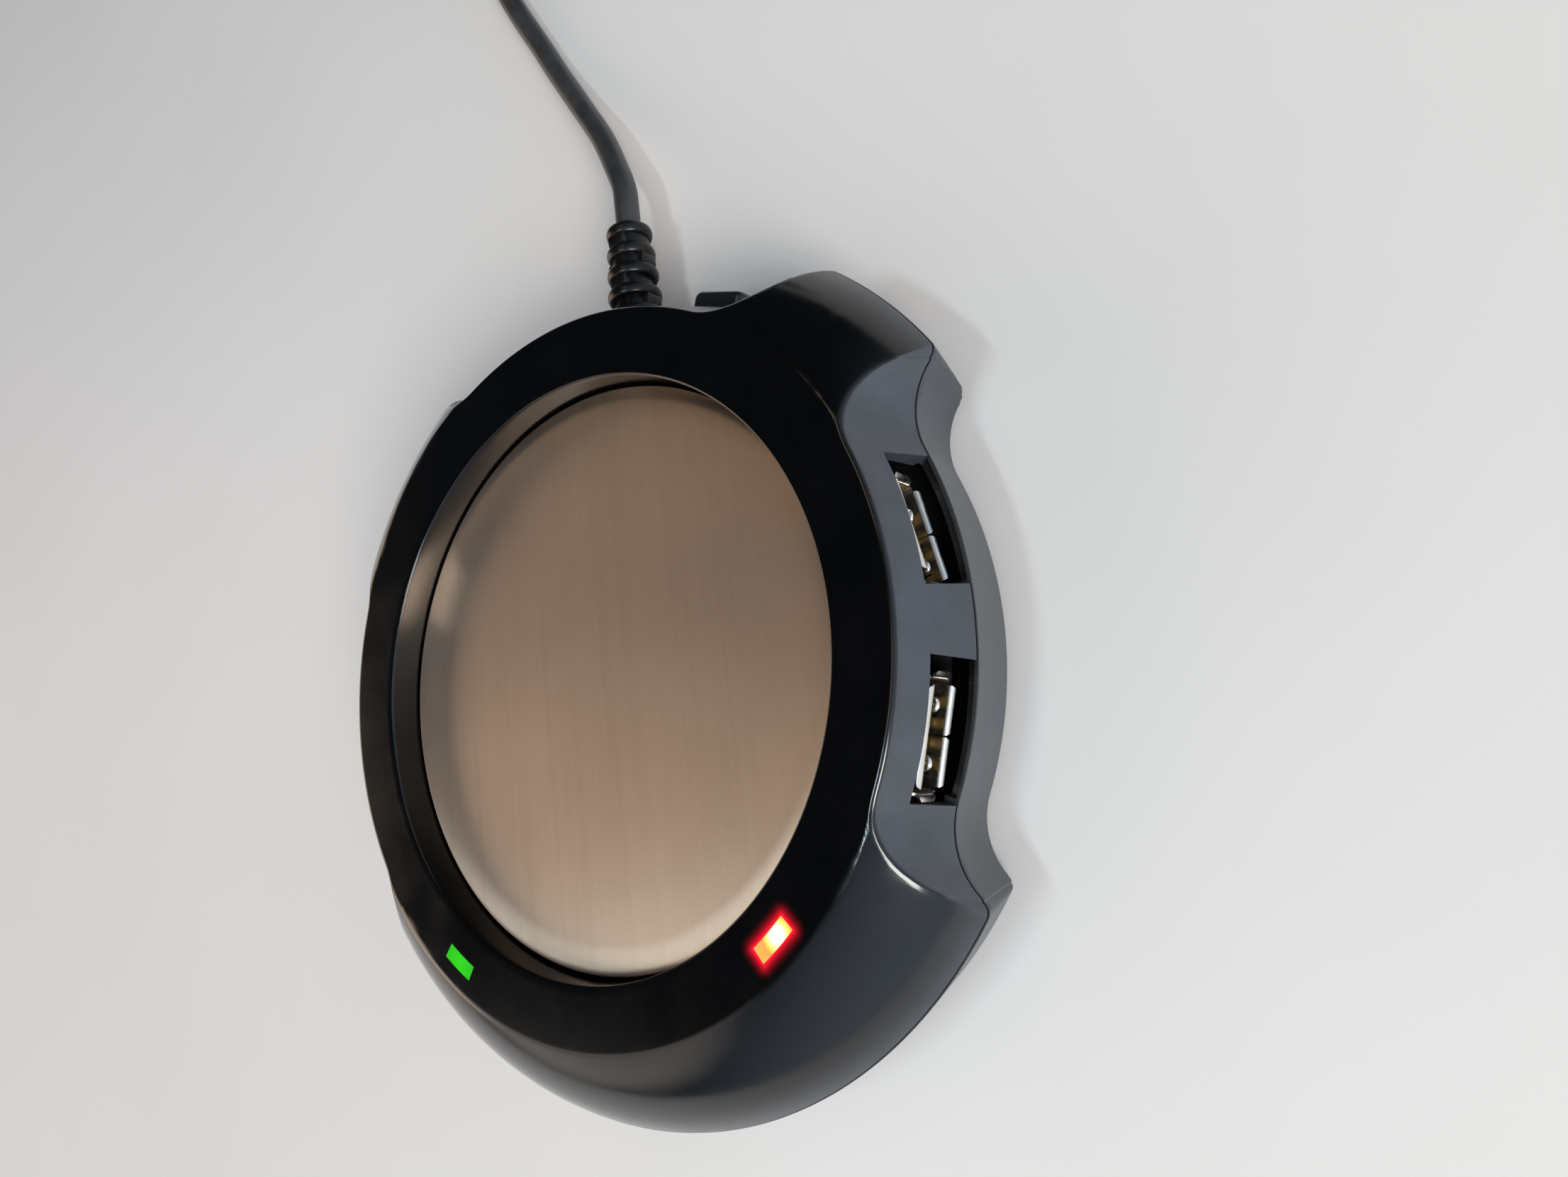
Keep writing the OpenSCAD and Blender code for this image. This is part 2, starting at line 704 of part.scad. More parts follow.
// Tie around the coil's cross-section, clear of the table
module cord_tie() {
    color([0.1, 0.1, 0.1]) translate(coil_centre) rotate([0, 0, tie_angle])
        translate([coil_mid_r, 0, 0]) difference() {
            translate([-coil_half_w - tie_t, -tie_w / 2, 0])
                cube([2 * (coil_half_w + tie_t), tie_w, coil_h + tie_t]);
            translate([-coil_half_w - 0.3, -tie_w, -1])
                cube([2 * coil_half_w + 0.6, 2 * tie_w, coil_h + 1]);
        }
}

module at_plug() {
    translate([plug_at[0], plug_at[1], plug_z]) children();
}

module plug_body() {
    color([0.04, 0.04, 0.04]) at_plug() {
        rotate([0, 90, 0]) cylinder(h = plug_tail + 1, r1 = cord_r + 0.4, r2 = cord_r + 1.4);
        translate([plug_tail, 0, 0]) rotate([90, 0, 90])
            linear_extrude(plug_len) rounded_rectangle(plug_w, plug_h, 2);
    }
}

module plug_shell() {
    sheet = 0.3;
    color([0.75, 0.75, 0.76]) at_plug()
        translate([plug_tail + plug_len, -plug_metal_w / 2, -plug_metal_h / 2]) difference() {
            cube([plug_metal, plug_metal_w, plug_metal_h]);
            translate([1, sheet, plug_metal_h / 2])
                cube([plug_metal, plug_metal_w - 2 * sheet, plug_metal_h / 2 - sheet]);
        }
}

upper_shell();
lower_shell();
warming_plate();
heater_element();
insulating_pad();
heater_retainer();
retainer_screws();
thermal_cutout();
heater_leads();
main_board();
board_screws();
usb_shell_right_rear();
usb_shell_right_front();
usb_shell_left_rear();
usb_shell_left_front();
usb_tongue_right_rear();
usb_tongue_right_front();
usb_tongue_left_rear();
usb_tongue_left_front();
usb_contacts_right_rear();
usb_contacts_right_front();
usb_contacts_left_rear();
usb_contacts_left_front();
hub_controller();
crystal();
capacitors();
led_window_right();
led_window_left();
led_red();
led_green();
switch_body();
power_button();
strain_relief();
cord_inner();
cord_connector();
cord_clamp();
clamp_screws();
case_screws();
rubber_feet();
cord();
cord_coil();
cord_tie();
plug_body();
plug_shell();
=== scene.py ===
"""Round USB hub with a cup warmer: the looks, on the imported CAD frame."""

import json
from math import asin, atan2, cos, degrees, pi, radians, sin, sqrt

import bmesh
import bpy
from mathutils import Matrix, Vector


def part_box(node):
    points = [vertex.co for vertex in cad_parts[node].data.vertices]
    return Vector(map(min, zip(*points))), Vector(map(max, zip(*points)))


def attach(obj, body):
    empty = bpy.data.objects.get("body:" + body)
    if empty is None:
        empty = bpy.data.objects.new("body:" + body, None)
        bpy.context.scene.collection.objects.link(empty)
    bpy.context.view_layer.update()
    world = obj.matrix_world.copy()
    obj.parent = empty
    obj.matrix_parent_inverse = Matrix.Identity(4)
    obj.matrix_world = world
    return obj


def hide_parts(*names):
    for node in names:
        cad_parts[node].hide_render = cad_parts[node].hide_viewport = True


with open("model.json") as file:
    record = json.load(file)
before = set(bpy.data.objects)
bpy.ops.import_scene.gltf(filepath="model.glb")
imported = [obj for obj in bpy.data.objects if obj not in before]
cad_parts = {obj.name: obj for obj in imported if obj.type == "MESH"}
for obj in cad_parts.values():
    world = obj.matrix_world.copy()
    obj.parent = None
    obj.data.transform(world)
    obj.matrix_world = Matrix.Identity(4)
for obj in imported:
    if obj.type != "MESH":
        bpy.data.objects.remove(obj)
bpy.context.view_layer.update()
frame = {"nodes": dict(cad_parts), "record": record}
NODES = frame["nodes"]
MM = 0.001

# ---------------- driving sizes, in metres
PLATE_LOW, PLATE_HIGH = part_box("warming_plate")
UPPER_LOW, UPPER_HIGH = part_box("upper_shell")
LOWER_LOW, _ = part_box("lower_shell")
RELIEF_LOW, RELIEF_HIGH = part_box("strain_relief")
SEAT = Vector(((PLATE_LOW.x + PLATE_HIGH.x) / 2, (PLATE_LOW.y + PLATE_HIGH.y) / 2, 0))
BODY = SEAT + Vector((0, 0.6 * MM, 0))
SEAM = UPPER_LOW.z
TOP = UPPER_HIGH.z
BASE = LOWER_LOW.z
PLATE_TOP = PLATE_HIGH.z
PLATE_R = (PLATE_HIGH.x - PLATE_LOW.x) / 2
SEAT_R = PLATE_R + 0.3 * MM
BODY_R = BODY.y - LOWER_LOW.y
RELIEF_Z = (RELIEF_LOW.z + RELIEF_HIGH.z) / 2
CORE_R = 50.4 * MM
# Inward slope of the walls, per unit of height
CORE_DRAFT_UP = 0.30
CORE_DRAFT_DOWN = 0.18
LOBE_DRAFT = 0.27
CROWN_R = 22 * MM
RING_R = CORE_R - CORE_DRAFT_UP * (TOP - SEAM) + 0.3 * MM
CUT_ROUND = 9.6 * MM
# The cut-ins, from their start to their end, in degrees from +X
CUTS = [(-27.0, 20.6), (59.6, 112.0), (159.4, 207.0)]
WALL = 2 * MM
PORT_ANGLES = (("rear", 10.8), ("front", -17.6))
PORTS = [(side, name, angle) for side in ("right", "left") for name, angle in PORT_ANGLES]
PORT_W, PORT_H = 16.2 * MM, 7.1 * MM
SOCKET_FRONT = 47.5 * MM
SOCKET_SHIFT = 0.8 * MM
SOCKET_Z = SEAM + 3.15 * MM
WINDOW_R = (42.4 * MM, 44.4 * MM)
WINDOW_ANGLES = (-49.2, -56.3)
CORD_R = 1.9 * MM
RELIEF_START = 53.18 * MM
BUTTON_ANGLE = 69.2
BUTTON_Z = 9.4 * MM
BUTTON_W, BUTTON_H = 9.4 * MM, 5.0 * MM
BUTTON_FACE = 53.4 * MM
# Radius of the cap's rounded face
BUTTON_CROWN = 16 * MM
# Angle in degrees above which an edge stays sharp
CREASE = 35


# ---------------- camera
def aim_camera():
    """The camera: its place, bearing, depression and roll, and a lens for a 36 mm sensor."""
    place_at = Vector((108.07, SEAT.y / MM - 26.36, 132.06)) * MM
    bearing, depression, roll = radians(158.40), radians(53.04), radians(-79.10)
    look = Vector((cos(depression) * cos(bearing), cos(depression) * sin(bearing), -sin(depression)))
    level = look.cross(Vector((0, 0, 1))).normalized()
    up = level.cross(look)
    right = cos(roll) * level + sin(roll) * up
    above = cos(roll) * up - sin(roll) * level
    data = bpy.data.cameras.new("camera")
    data.sensor_width = 36
    data.sensor_fit = "HORIZONTAL"
    data.lens = 27.375
    data.clip_start = 0.005
    camera = link("camera", data)
    turn = Matrix((right, above, -look)).transposed()
    camera.matrix_world = Matrix.Translation(place_at) @ turn.to_4x4()
    bpy.context.scene.camera = camera


# ---------------- mesh helpers
def mm(*values):
    """Millimetres to metres."""
    return tuple(value * MM for value in values)


def link(name, data):
    thing = bpy.data.objects.new(name, data)
    bpy.context.scene.collection.objects.link(thing)
    return thing


def mesh_object(name, points, faces, smooth=CREASE):
    """An object from points in metres and faces, welded, with its normals made to point outwards."""
    data = bpy.data.meshes.new(name)
    data.from_pydata([tuple(p) for p in points], [], faces)
    tidy = bmesh.new()
    tidy.from_mesh(data)
    bmesh.ops.remove_doubles(tidy, verts=tidy.verts, dist=0.004 * MM)
    bmesh.ops.dissolve_degenerate(tidy, edges=tidy.edges, dist=0.002 * MM)
    bmesh.ops.recalc_face_normals(tidy, faces=tidy.faces)
    tidy.to_mesh(data)
    tidy.free()
    shade(data, smooth)
    return link(name, data)


def shade(data, smooth):
    data.shade_smooth()
    data.set_sharp_from_angle(angle=radians(smooth))


def loft(name, loops, close_rows=False, caps=False, smooth=CREASE):
    """Skin between closed loops that all have the same number of points."""
    width = len(loops[0])
    points = [p for row in loops for p in row]
    rows = len(loops)
    faces = []
    for i in range(rows if close_rows else rows - 1):
        a, b = i * width, ((i + 1) % rows) * width
        for j in range(width):
            k = (j + 1) % width
            faces.append((a + j, a + k, b + k, b + j))
    if caps:
        faces.append(tuple(range(width)))
        faces.append(tuple((rows - 1) * width + j for j in range(width)))
    return mesh_object(name, points, faces, smooth)


def lathe(name, profile, centre, steps, axis="Z", caps=True):
    """A solid of revolution from (radius, distance along the axis) pairs."""
    loops = []
    for r, h in profile:
        row = []
        for j in range(steps):
            a = 2 * pi * j / steps
            c, s = r * cos(a), r * sin(a)
            point = Vector((c, s, h)) if axis == "Z" else Vector((s, h, c))
            row.append(Vector(centre) + point)
        loops.append(row)
    return loft(name, loops, caps=caps)


def rounded_outline(width, height, radius, steps=6):
    """Points round a rectangle with round corners, centred on zero."""
    out = []
    for cx, cy, start in ((1, 1, 0), (-1, 1, 90), (-1, -1, 180), (1, -1, 270)):
        for i in range(steps + 1):
            a = radians(start + 90 * i / steps)
            out.append((cx * (width / 2 - radius) + radius * cos(a),
                        cy * (height / 2 - radius) + radius * sin(a)))
    return out


def box(name, low, high, round_by=0.0):
    """A box between two corners, with its edges rounded."""
    data = bpy.data.meshes.new(name)
    work = bmesh.new()
    bmesh.ops.create_cube(work, size=1)
    for v in work.verts:
        v.co = Vector([low[i] + (v.co[i] + 0.5) * (high[i] - low[i]) for i in range(3)])
    if round_by > 0:
        bmesh.ops.bevel(work, geom=work.edges[:], offset=round_by, segments=2, profile=0.5, affect="EDGES")
    bmesh.ops.recalc_face_normals(work, faces=work.faces)
    work.to_mesh(data)
    work.free()
    shade(data, 50)
    return link(name, data)


def apply_modifiers(thing, smooth):
    """Bakes an object's modifiers into its mesh."""
    bpy.context.view_layer.update()
    depsgraph = bpy.context.evaluated_depsgraph_get()
    baked = bpy.data.meshes.new_from_object(thing.evaluated_get(depsgraph))
    thing.modifiers.clear()
    thing.data = baked
    shade(baked, smooth)


def carve(thing, cutters, smooth=CREASE):
    """Cuts the cutters out of a mesh and removes them."""
    for cutter in cutters:
        cut = thing.modifiers.new("cut", "BOOLEAN")
        cut.operation = "DIFFERENCE"
        cut.solver = "EXACT"
        cut.object = cutter
    apply_modifiers(thing, smooth)
    for cutter in cutters:
        bpy.data.objects.remove(cutter)


def join(name, things):
    """One object from several."""
    data = bpy.data.meshes.new(name)
    work = bmesh.new()
    for thing in things:
        part = thing.data.copy()
        part.transform(thing.matrix_world)
        work.from_mesh(part)
        bpy.data.meshes.remove(part)
        bpy.data.objects.remove(thing)
    work.to_mesh(data)
    work.free()
    return link(name, data)


def place(thing, matrix):
    """Moves a mesh into place, keeping its faces outwards when the matrix mirrors it."""
    thing.data.transform(matrix)
    if matrix.determinant() < 0:
        thing.data.flip_normals()
    return thing


def turned(at, angle):
    """The frame at a place, turned about Z by an angle in radians."""
    return Matrix.Translation(at) @ Matrix.Rotation(angle, 4, "Z")


def finish_piece(thing, material, *nodes, slot=None, body="housing"):
    """Gives a piece its material and its body, and hides the CAD nodes it stands for; slot is not used."""
    thing.data.materials.clear()
    thing.data.materials.append(MATERIALS[material])
    if nodes:
        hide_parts(*nodes)
    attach(thing, body)
    return thing


# ---------------- materials
# Depth of the finest relief at full strength
FINE_RELIEF = 0.02 * MM
# Factors that flatten a vector to its level part
LEVEL = (1, 1, 0)


def wire(made, node, inputs):
    """Sets a node's inputs, by name or number, to values or to other nodes' sockets."""
    for key, value in inputs.items():
        socket = node.inputs[key.replace("_", " ") if isinstance(key, str) else key]
        if isinstance(value, bpy.types.NodeSocket):
            made.node_tree.links.new(value, socket)
        else:
            socket.default_value = value
    return node


def add_node(made, kind, settings=(), **inputs):
    """A shader node with its settings and its inputs."""
    node = made.node_tree.nodes.new("ShaderNode" + kind)
    for key, value in dict(settings).items():
        setattr(node, key, value)
    return wire(made, node, inputs)


def new_material(name):
    """A material with one Principled shader on its output."""
    made = bpy.data.materials.new(name)
    made.use_nodes = True
    made.node_tree.nodes.clear()
    shader = add_node(made, "BsdfPrincipled")
    add_node(made, "OutputMaterial", Surface=shader.outputs[0])
    return made, shader


def combine(made, operation, *values, kind="VectorMath"):
    """An operation on vectors, or on numbers with kind Math, from values and sockets in order."""
    node = wire(made, add_node(made, kind, {"operation": operation}), dict(enumerate(values)))
    number = kind == "Math" or operation in ("LENGTH", "DISTANCE", "DOT_PRODUCT")
    return node.outputs["Value" if number else "Vector"]


def coordinates(made, stretch=(1, 1, 1)):
    """Object coordinates in metres, stretched along each axis."""
    source = add_node(made, "TexCoord").outputs["Object"]
    return add_node(made, "Mapping", Vector=source, Scale=stretch).outputs[0]


def noise(made, where, scale, detail, roughness=0.5):
    node = add_node(made, "TexNoise", Vector=where, Scale=scale, Detail=detail, Roughness=roughness)
    return node.outputs[0]


def bumps(made, strength, height, distance=FINE_RELIEF):
    """A normal that follows a height."""
    return add_node(made, "Bump", Strength=strength, Distance=distance, Height=height).outputs[0]


def ramp(made, source, low, high, start=0.3, end=0.7):
    """Maps a 0 to 1 texture between two colours or two grey values."""
    node = wire(made, add_node(made, "ValToRGB"), {0: source})
    for element, where, value in zip(node.color_ramp.elements, (start, end), (low, high)):
        element.position = where
        element.color = (*value, 1) if hasattr(value, "__len__") else (value, value, value, 1)
    return node.outputs[0]


def mix_colours(made, share, first, second, blend="MIX"):
    node = add_node(made, "Mix", {"data_type": "RGBA", "blend_type": blend})
    return wire(made, node, {0: share, 6: first, 7: second}).outputs[2]


def span(made, value, start, end, settings=(), **inputs):
    """Maps a number from start to end on to 0 to 1, or to the limits in inputs."""
    node = add_node(made, "MapRange", settings, Value=value, From_Min=start, From_Max=end, **inputs)
    return node.outputs[0]


def scaled(colour, *factors):
    """A colour or a number times each factor."""
    if hasattr(colour, "__len__"):
        return [[c * factor for c in colour] for factor in factors]
    return [colour * factor for factor in factors]


def moulded(name, colour, roughness, grain=9000, bump=0.02, ior=1.5):
    """Moulded plastic or rubber: a fine grain in the surface, and slow changes of gloss and colour."""
    made, shader = new_material(name)
    where = coordinates(made)
    slow, fine = noise(made, where, 180, 6, 0.6), noise(made, where, grain, 3)
    darker, lighter = scaled(colour, 0.75, 1.25)
    wire(made, shader, {
        "Base Color": ramp(made, slow, darker, [min(1, c + 0.002) for c in lighter]),
        "Roughness": ramp(made, slow, *scaled(roughness, 0.85, 1.2), 0.35, 0.68),
        "Normal": bumps(made, bump, fine),
        "IOR": ior,
    })
    return made


def housing_plastic(name, top, side, top_gloss, side_gloss, polished_within, leak=()):
    """Black moulding, polished on its flat top and within a radius of the seat's axis, satin elsewhere, where
    it is also painted lighter and bluer as a sheen of light on the walls.
    """
    made, shader = new_material(name)
    where = coordinates(made)
    slow, fine = noise(made, where, 140, 6, 0.6), noise(made, where, 7000, 3)
    normal = add_node(made, "NewGeometry").outputs["Normal"]
    upward = add_node(made, "SeparateXYZ", Vector=normal).outputs["Z"]
    flat = span(made, upward, 0.25, 0.62, {"interpolation_type": "SMOOTHSTEP"})
    away = combine(made, "MULTIPLY", combine(made, "SUBTRACT", where, SEAT), LEVEL)
    seat_wall = span(made, combine(made, "LENGTH", away), polished_within, polished_within + 1 * MM,
                     To_Min=1.0, To_Max=0.0)
    polished = combine(made, "MAXIMUM", flat, seat_wall, kind="Math")
    # Base colour: steep faces take a lighter, bluer copy of the black, a painted sheen of the light on the
    # walls; the roughness change is the real finish.
    for target, steep, level in (("Base Color", scaled(side, 0.8, 1.2), scaled(top, 0.7, 1.3)),
                                 ("Roughness", scaled(side_gloss, 0.9, 1.1), scaled(top_gloss, 0.8, 1.25))):
        steep, level = ramp(made, slow, *steep), ramp(made, slow, *level)
        wire(made, shader, {target: mix_colours(made, polished, steep, level)})
    wire(made, shader, {"Normal": bumps(made, 0.035, fine), "IOR": 1.55})
    # Painted glow: the moulding itself emits red round the lit window.
    if leak:
        spill(made, shader, *leak)
    return made


def metal(name, colour, roughness, scale=2500, stretch=(1, 1, 1)):
    """Plated or plain sheet metal, with fine scratches along one direction."""
    made, shader = new_material(name)
    fine = noise(made, coordinates(made, stretch), scale, 4)
    slow = noise(made, coordinates(made), 300, 3)
    wire(made, shader, {
        "Base Color": ramp(made, slow, *scaled(colour, 0.8, 1.0), 0.3, 0.65),
        "Roughness": ramp(made, fine, *scaled(roughness, 0.7, 1.4)),
        "Normal": bumps(made, 0.05, fine),
        "Metallic": 1.0,
    })
    return made


def brushed_plate():
    """Steel brushed front to back: long thin streaks, and a wide sheen across them over a sharper one."""
    made, shader = new_material("brushed_plate")
    broad = noise(made, coordinates(made, (1, 0.012, 1)), 700, 8, 0.75)
    thin = noise(made, coordinates(made, (1, 0.05, 1)), 4200, 4, 0.7)
    stain = noise(made, coordinates(made), 60, 5)
    # The steel's warm brown is partly a painted reflection: it carries the warmth of the room that the plate
    # reflects.
    steel = ramp(made, broad, (0.80, 0.60, 0.44), (0.87, 0.665, 0.50), 0.3, 0.72)
    cloudy = ramp(made, stain, 0.93, 1, 0.35, 0.65)
    wide = add_node(made, "BsdfPrincipled")
    shared = {
        "Base Color": mix_colours(made, 1.0, steel, cloudy, "MULTIPLY"),
        "Normal": bumps(made, 0.035, thin),
        "Tangent": add_node(made, "CombineXYZ", X=1.0, Y=0.0, Z=0.0).outputs[0],
        "Metallic": 1.0,
    }
    for lobe, low, high, stretch in ((shader, 0.22, 0.27, 0.85), (wide, 0.38, 0.43, 1.0)):
        wire(made, lobe, shared)
        wire(made, lobe, {"Roughness": ramp(made, thin, low, high), "Anisotropic": stretch})
    both = wire(made, add_node(made, "MixShader"), {0: 0.65, 1: shader.outputs[0], 2: wide.outputs[0]})
    wire(made, made.node_tree.nodes["Material Output"], {0: both.outputs[0]})
    return made


def window_coordinates(made, side):
    """Coordinates in a window's own frame: X along it towards its rear end, Y across it."""
    middle = radians(sum(WINDOW_ANGLES) / 2)
    centre = SEAT + Vector((side * cos(middle), sin(middle), 0)) * sum(WINDOW_R) / 2
    turn = middle + pi / 2 if side > 0 else pi / 2 - middle
    source = add_node(made, "TexCoord").outputs["Object"]
    return add_node(made, "Mapping", {"vector_type": "TEXTURE"}, Vector=source,
                    Location=centre, Rotation=(0, 0, turn)).outputs[0]


def lit_window(name, side, stops, strength, core_at):
    """A lit light pipe: colours by distance in millimetres from its brightest place, slightly clouded."""
    made, shader = new_material(name)
    flat = combine(made, "MULTIPLY", window_coordinates(made, side), LEVEL)
    reach = stops[-1][0] * MM
    near = span(made, combine(made, "DISTANCE", flat, (core_at, 0, 0)), 0.0, reach)
    speck = noise(made, coordinates(made), 1500, 2)
    clouded = combine(made, "MULTIPLY_ADD", speck, 0.08, near, kind="Math")
    glow = wire(made, add_node(made, "ValToRGB"), {0: clouded})
    colours = glow.color_ramp.elements
    while len(colours) < len(stops):
        colours.new(0.5)
    for element, (distance, colour) in zip(colours, stops):
        element.position = distance * MM / reach
        element.color = (*colour, 1)
    wire(made, shader, {
        "Emission Color": glow.outputs[0],
        "Emission Strength": strength,
        "Base Color": (*[c * 0.3 for c in stops[-1][1]], 1),
        "Roughness": 0.2,
    })
    return made


def spill(made, shader, side, colour, strength, reach):
    """Painted glow: the moulding round a window emits as though light leaked into it."""
    half = ((WINDOW_R[0] + WINDOW_R[1]) / 2 * radians(WINDOW_ANGLES[0] - WINDOW_ANGLES[1]) / 2,
            (WINDOW_R[1] - WINDOW_R[0]) / 2, 1.0)
    beyond = combine(made, "SUBTRACT", combine(made, "ABSOLUTE", window_coordinates(made, side)), half)
    distance = combine(made, "LENGTH", combine(made, "MAXIMUM", beyond, (0, 0, 0)))
    near = span(made, distance, 0.0, reach, To_Min=1.0, To_Max=0.0)
    fall = combine(made, "POWER", near, 4.0, kind="Math")
    wire(made, shader, {"Emission Strength": combine(made, "MULTIPLY", fall, strength, kind="Math"),
                        "Emission Color": (*colour, 1)})


def fibre(name, colour):
    """Pressed fibre board with short flecks."""
    made, shader = new_material(name)
    flecks = add_node(made, "TexVoronoi", Vector=coordinates(made, (1, 0.3, 1)), Scale=1800.0).outputs[0]
    wire(made, shader, {
        "Base Color": ramp(made, flecks, *scaled(colour, 0.75, 1.0), 0.1, 0.8),
        "Normal": bumps(made, 0.4, flecks, 0.05 * MM),
        "Roughness": 0.9,
    })
    return made


def solder_mask(name, colour):
    """Circuit board: dark mask with lighter tracks under it."""
    made, shader = new_material(name)
    plain, lighter, track = [(*c, 1) for c in scaled(colour, 1.0, 1.25, 1.9)]
    cells = add_node(made, "TexBrick", Vector=coordinates(made), Scale=160.0, Color1=plain, Color2=lighter,
                     Mortar=track, Mortar_Size=0.03)
    wire(made, shader, {"Base Color": cells.outputs[0], "Roughness": 0.35})
    return made


def floor_material():
    """Pale warm table with a very faint mottle."""
    made, shader = new_material("pale_floor")
    mottle = noise(made, coordinates(made), 9, 5)
    tint = ramp(made, mottle, (0.74, 0.711, 0.674), (0.78, 0.751, 0.714))
    wire(made, shader, {"Base Color": tint, "Roughness": 0.55})
    return made


# The red window's colours, by distance in millimetres from its brightest place
RED_GLOW = [(0.0, (1, 1, 0.92)), (1.05, (1, 0.95, 0.62)), (1.7, (1, 0.62, 0.10)),
            (2.3, (0.8, 0.24, 0.06)), (3.8, (0.85, 0.30, 0.06))]
GREEN_GLOW = [(0.0, (0.02, 0.60, 0.006)), (3.4, (0.012, 0.42, 0.005))]
# Side, colour, strength and reach of the painted red glow in the moulding round its window
RED_LEAK = (1, (1.0, 0.008, 0.03), 1.5, 2.2 * MM)
# Moulded pieces, as colour, roughness and what else differs
MOULDED = {
    "gloss_black_cap": ((0.013, 0.016, 0.018), 0.22, dict(bump=0.03, ior=1.55)),
    "polyimide": ((0.6, 0.33, 0.06), 0.35, {}),
    "wire_red": ((0.5, 0.04, 0.03), 0.4, {}),
    "chip_black": ((0.03, 0.03, 0.03), 0.6, dict(bump=0.15)),
    "capacitor_sleeve": ((0.02, 0.02, 0.14), 0.25, {}),
    "lamp_red": ((0.8, 0.1, 0.05), 0.2, {}),
    "lamp_green": ((0.1, 0.8, 0.15), 0.2, {}),
    "switch_plastic": ((0.03, 0.03, 0.033), 0.5, dict(bump=0.1)),
    "matte_black": ((0.003, 0.003, 0.0035), 0.28, dict(bump=0.1, ior=1.4)),
    "connector_white": ((0.8, 0.77, 0.66), 0.45, {}),
    "foot_rubber": ((0.02, 0.02, 0.02), 0.8, dict(bump=0.3, grain=4000)),
    "cord_jacket": ((0.034, 0.0345, 0.0355), 0.4, dict(bump=0.12, grain=5000)),
    "tie_black": ((0.02, 0.02, 0.02), 0.45, {}),
    "plug_black": ((0.015, 0.015, 0.015), 0.5, dict(bump=0.15)),
    "socket_insulator": ((0.006, 0.006, 0.007), 0.5, {}),
    "plug_insert": ((0.70, 0.69, 0.66), 0.45, {}),
}
MATERIALS = {
    # The side colours of both blacks are painted sheen: lighter, bluer copies of the black for the walls.
    "gloss_black": housing_plastic("gloss_black", (0.0014, 0.0013, 0.0013), (0.044, 0.051, 0.064), 0.13, 0.30,
                                   SEAT_R + 1 * MM, RED_LEAK),
    "satin_black": housing_plastic("satin_black", (0.02, 0.02, 0.02), (0.040, 0.047, 0.055), 0.3, 0.34, -1.0),
    "brushed_plate": brushed_plate(),
    "pad_fibre": fibre("pad_fibre", (0.8, 0.78, 0.7)),
    "zinc_steel": metal("zinc_steel", (0.6, 0.6, 0.62), 0.3),
    "board_black": solder_mask("board_black", (0.006, 0.006, 0.007)),
    "window_red": lit_window("window_red", 1, RED_GLOW, 1.5, 0.8 * MM),
    "window_green": lit_window("window_green", -1, GREEN_GLOW, 1.0, 0.0),
    "plug_metal": metal("plug_metal", (0.72, 0.72, 0.73), 0.18, stretch=(1, 0.1, 1)),
    "socket_metal": metal("socket_metal", (0.86, 0.82, 0.74), 0.2, scale=1800),
    "contact_gold": metal("contact_gold", (0.86, 0.56, 0.20), 0.35),
}
for name, (colour, roughness, extra) in MOULDED.items():
    MATERIALS[name] = moulded(name, colour, roughness, **extra)


def paint_cad_nodes():
    """Every CAD node that stays in view takes the material of its record slot."""
    for entry in frame["record"]["subparts"]:
        data = NODES[entry["node"]].data
        data.materials.clear()
        data.materials.append(MATERIALS[entry["material_slot"]])


# ---------------- cord, coil, tie and plug
ROUTE = [
    (0, 72.58, 7.4), (0, 76.18, 7.4), (-0.6, 79.88, 6.9), (-2.4, 84.28, 6.1), (-5.6, 91.38, 4.9),
    (-9.6, 98.28, 3.7), (-13.7, 105.28, 2.7), (-17.4, 111.88, 2.1), (-20.9, 118.78, 1.9),
    (-24.5, 125.68, 1.9), (-27.6, 132.08, 1.9), (-30.4, 138.78, 1.9), (-32.4, 145.78, 1.9),
]
COIL_ENTRY = (-33.0, 151.78, 1.9)
# The tail into the plug, as distance along X and height
TAIL = [(0, 5.6), (4, 5.0), (7.5, 4.3), (10, 4.0)]
COIL = Vector((-8, 158.78, 0)) * MM
COIL_R = 21.2 * MM
# The lane of each turn as (layer upwards, ring inwards)
LANES = [(0, 0), (0, 1), (0, 2), (1, 2), (2, 2), (2, 1), (1, 1), (1, 0), (1, 0)]
COIL_TURNS = 7.25
# Where in a turn the cord starts to shift to its next lane
SHIFT_FROM = 0.75


def coil_points(steps=24):
    """The turns, clockwise from where the free run arrives, each in its lane and shifting near its end."""
    pitch = 2 * CORD_R
    points = []
    for i in range(round(COIL_TURNS * steps) + 1):
        turn = i / steps
        whole, part = int(turn), turn - int(turn)
        shift = min(1.0, max(0.0, (part - SHIFT_FROM) / (1 - SHIFT_FROM)))
        shift = shift * shift * (3 - 2 * shift)
        (layer0, ring0), (layer1, ring1) = LANES[whole], LANES[whole + 1]
        layer, ring = layer0 + (layer1 - layer0) * shift, ring0 + (ring1 - ring0) * shift
        r = COIL_R + (1 - ring) * pitch
        a = pi - 2 * pi * turn
        points.append(COIL + Vector((r * cos(a), r * sin(a), CORD_R + layer * pitch)))
    return points


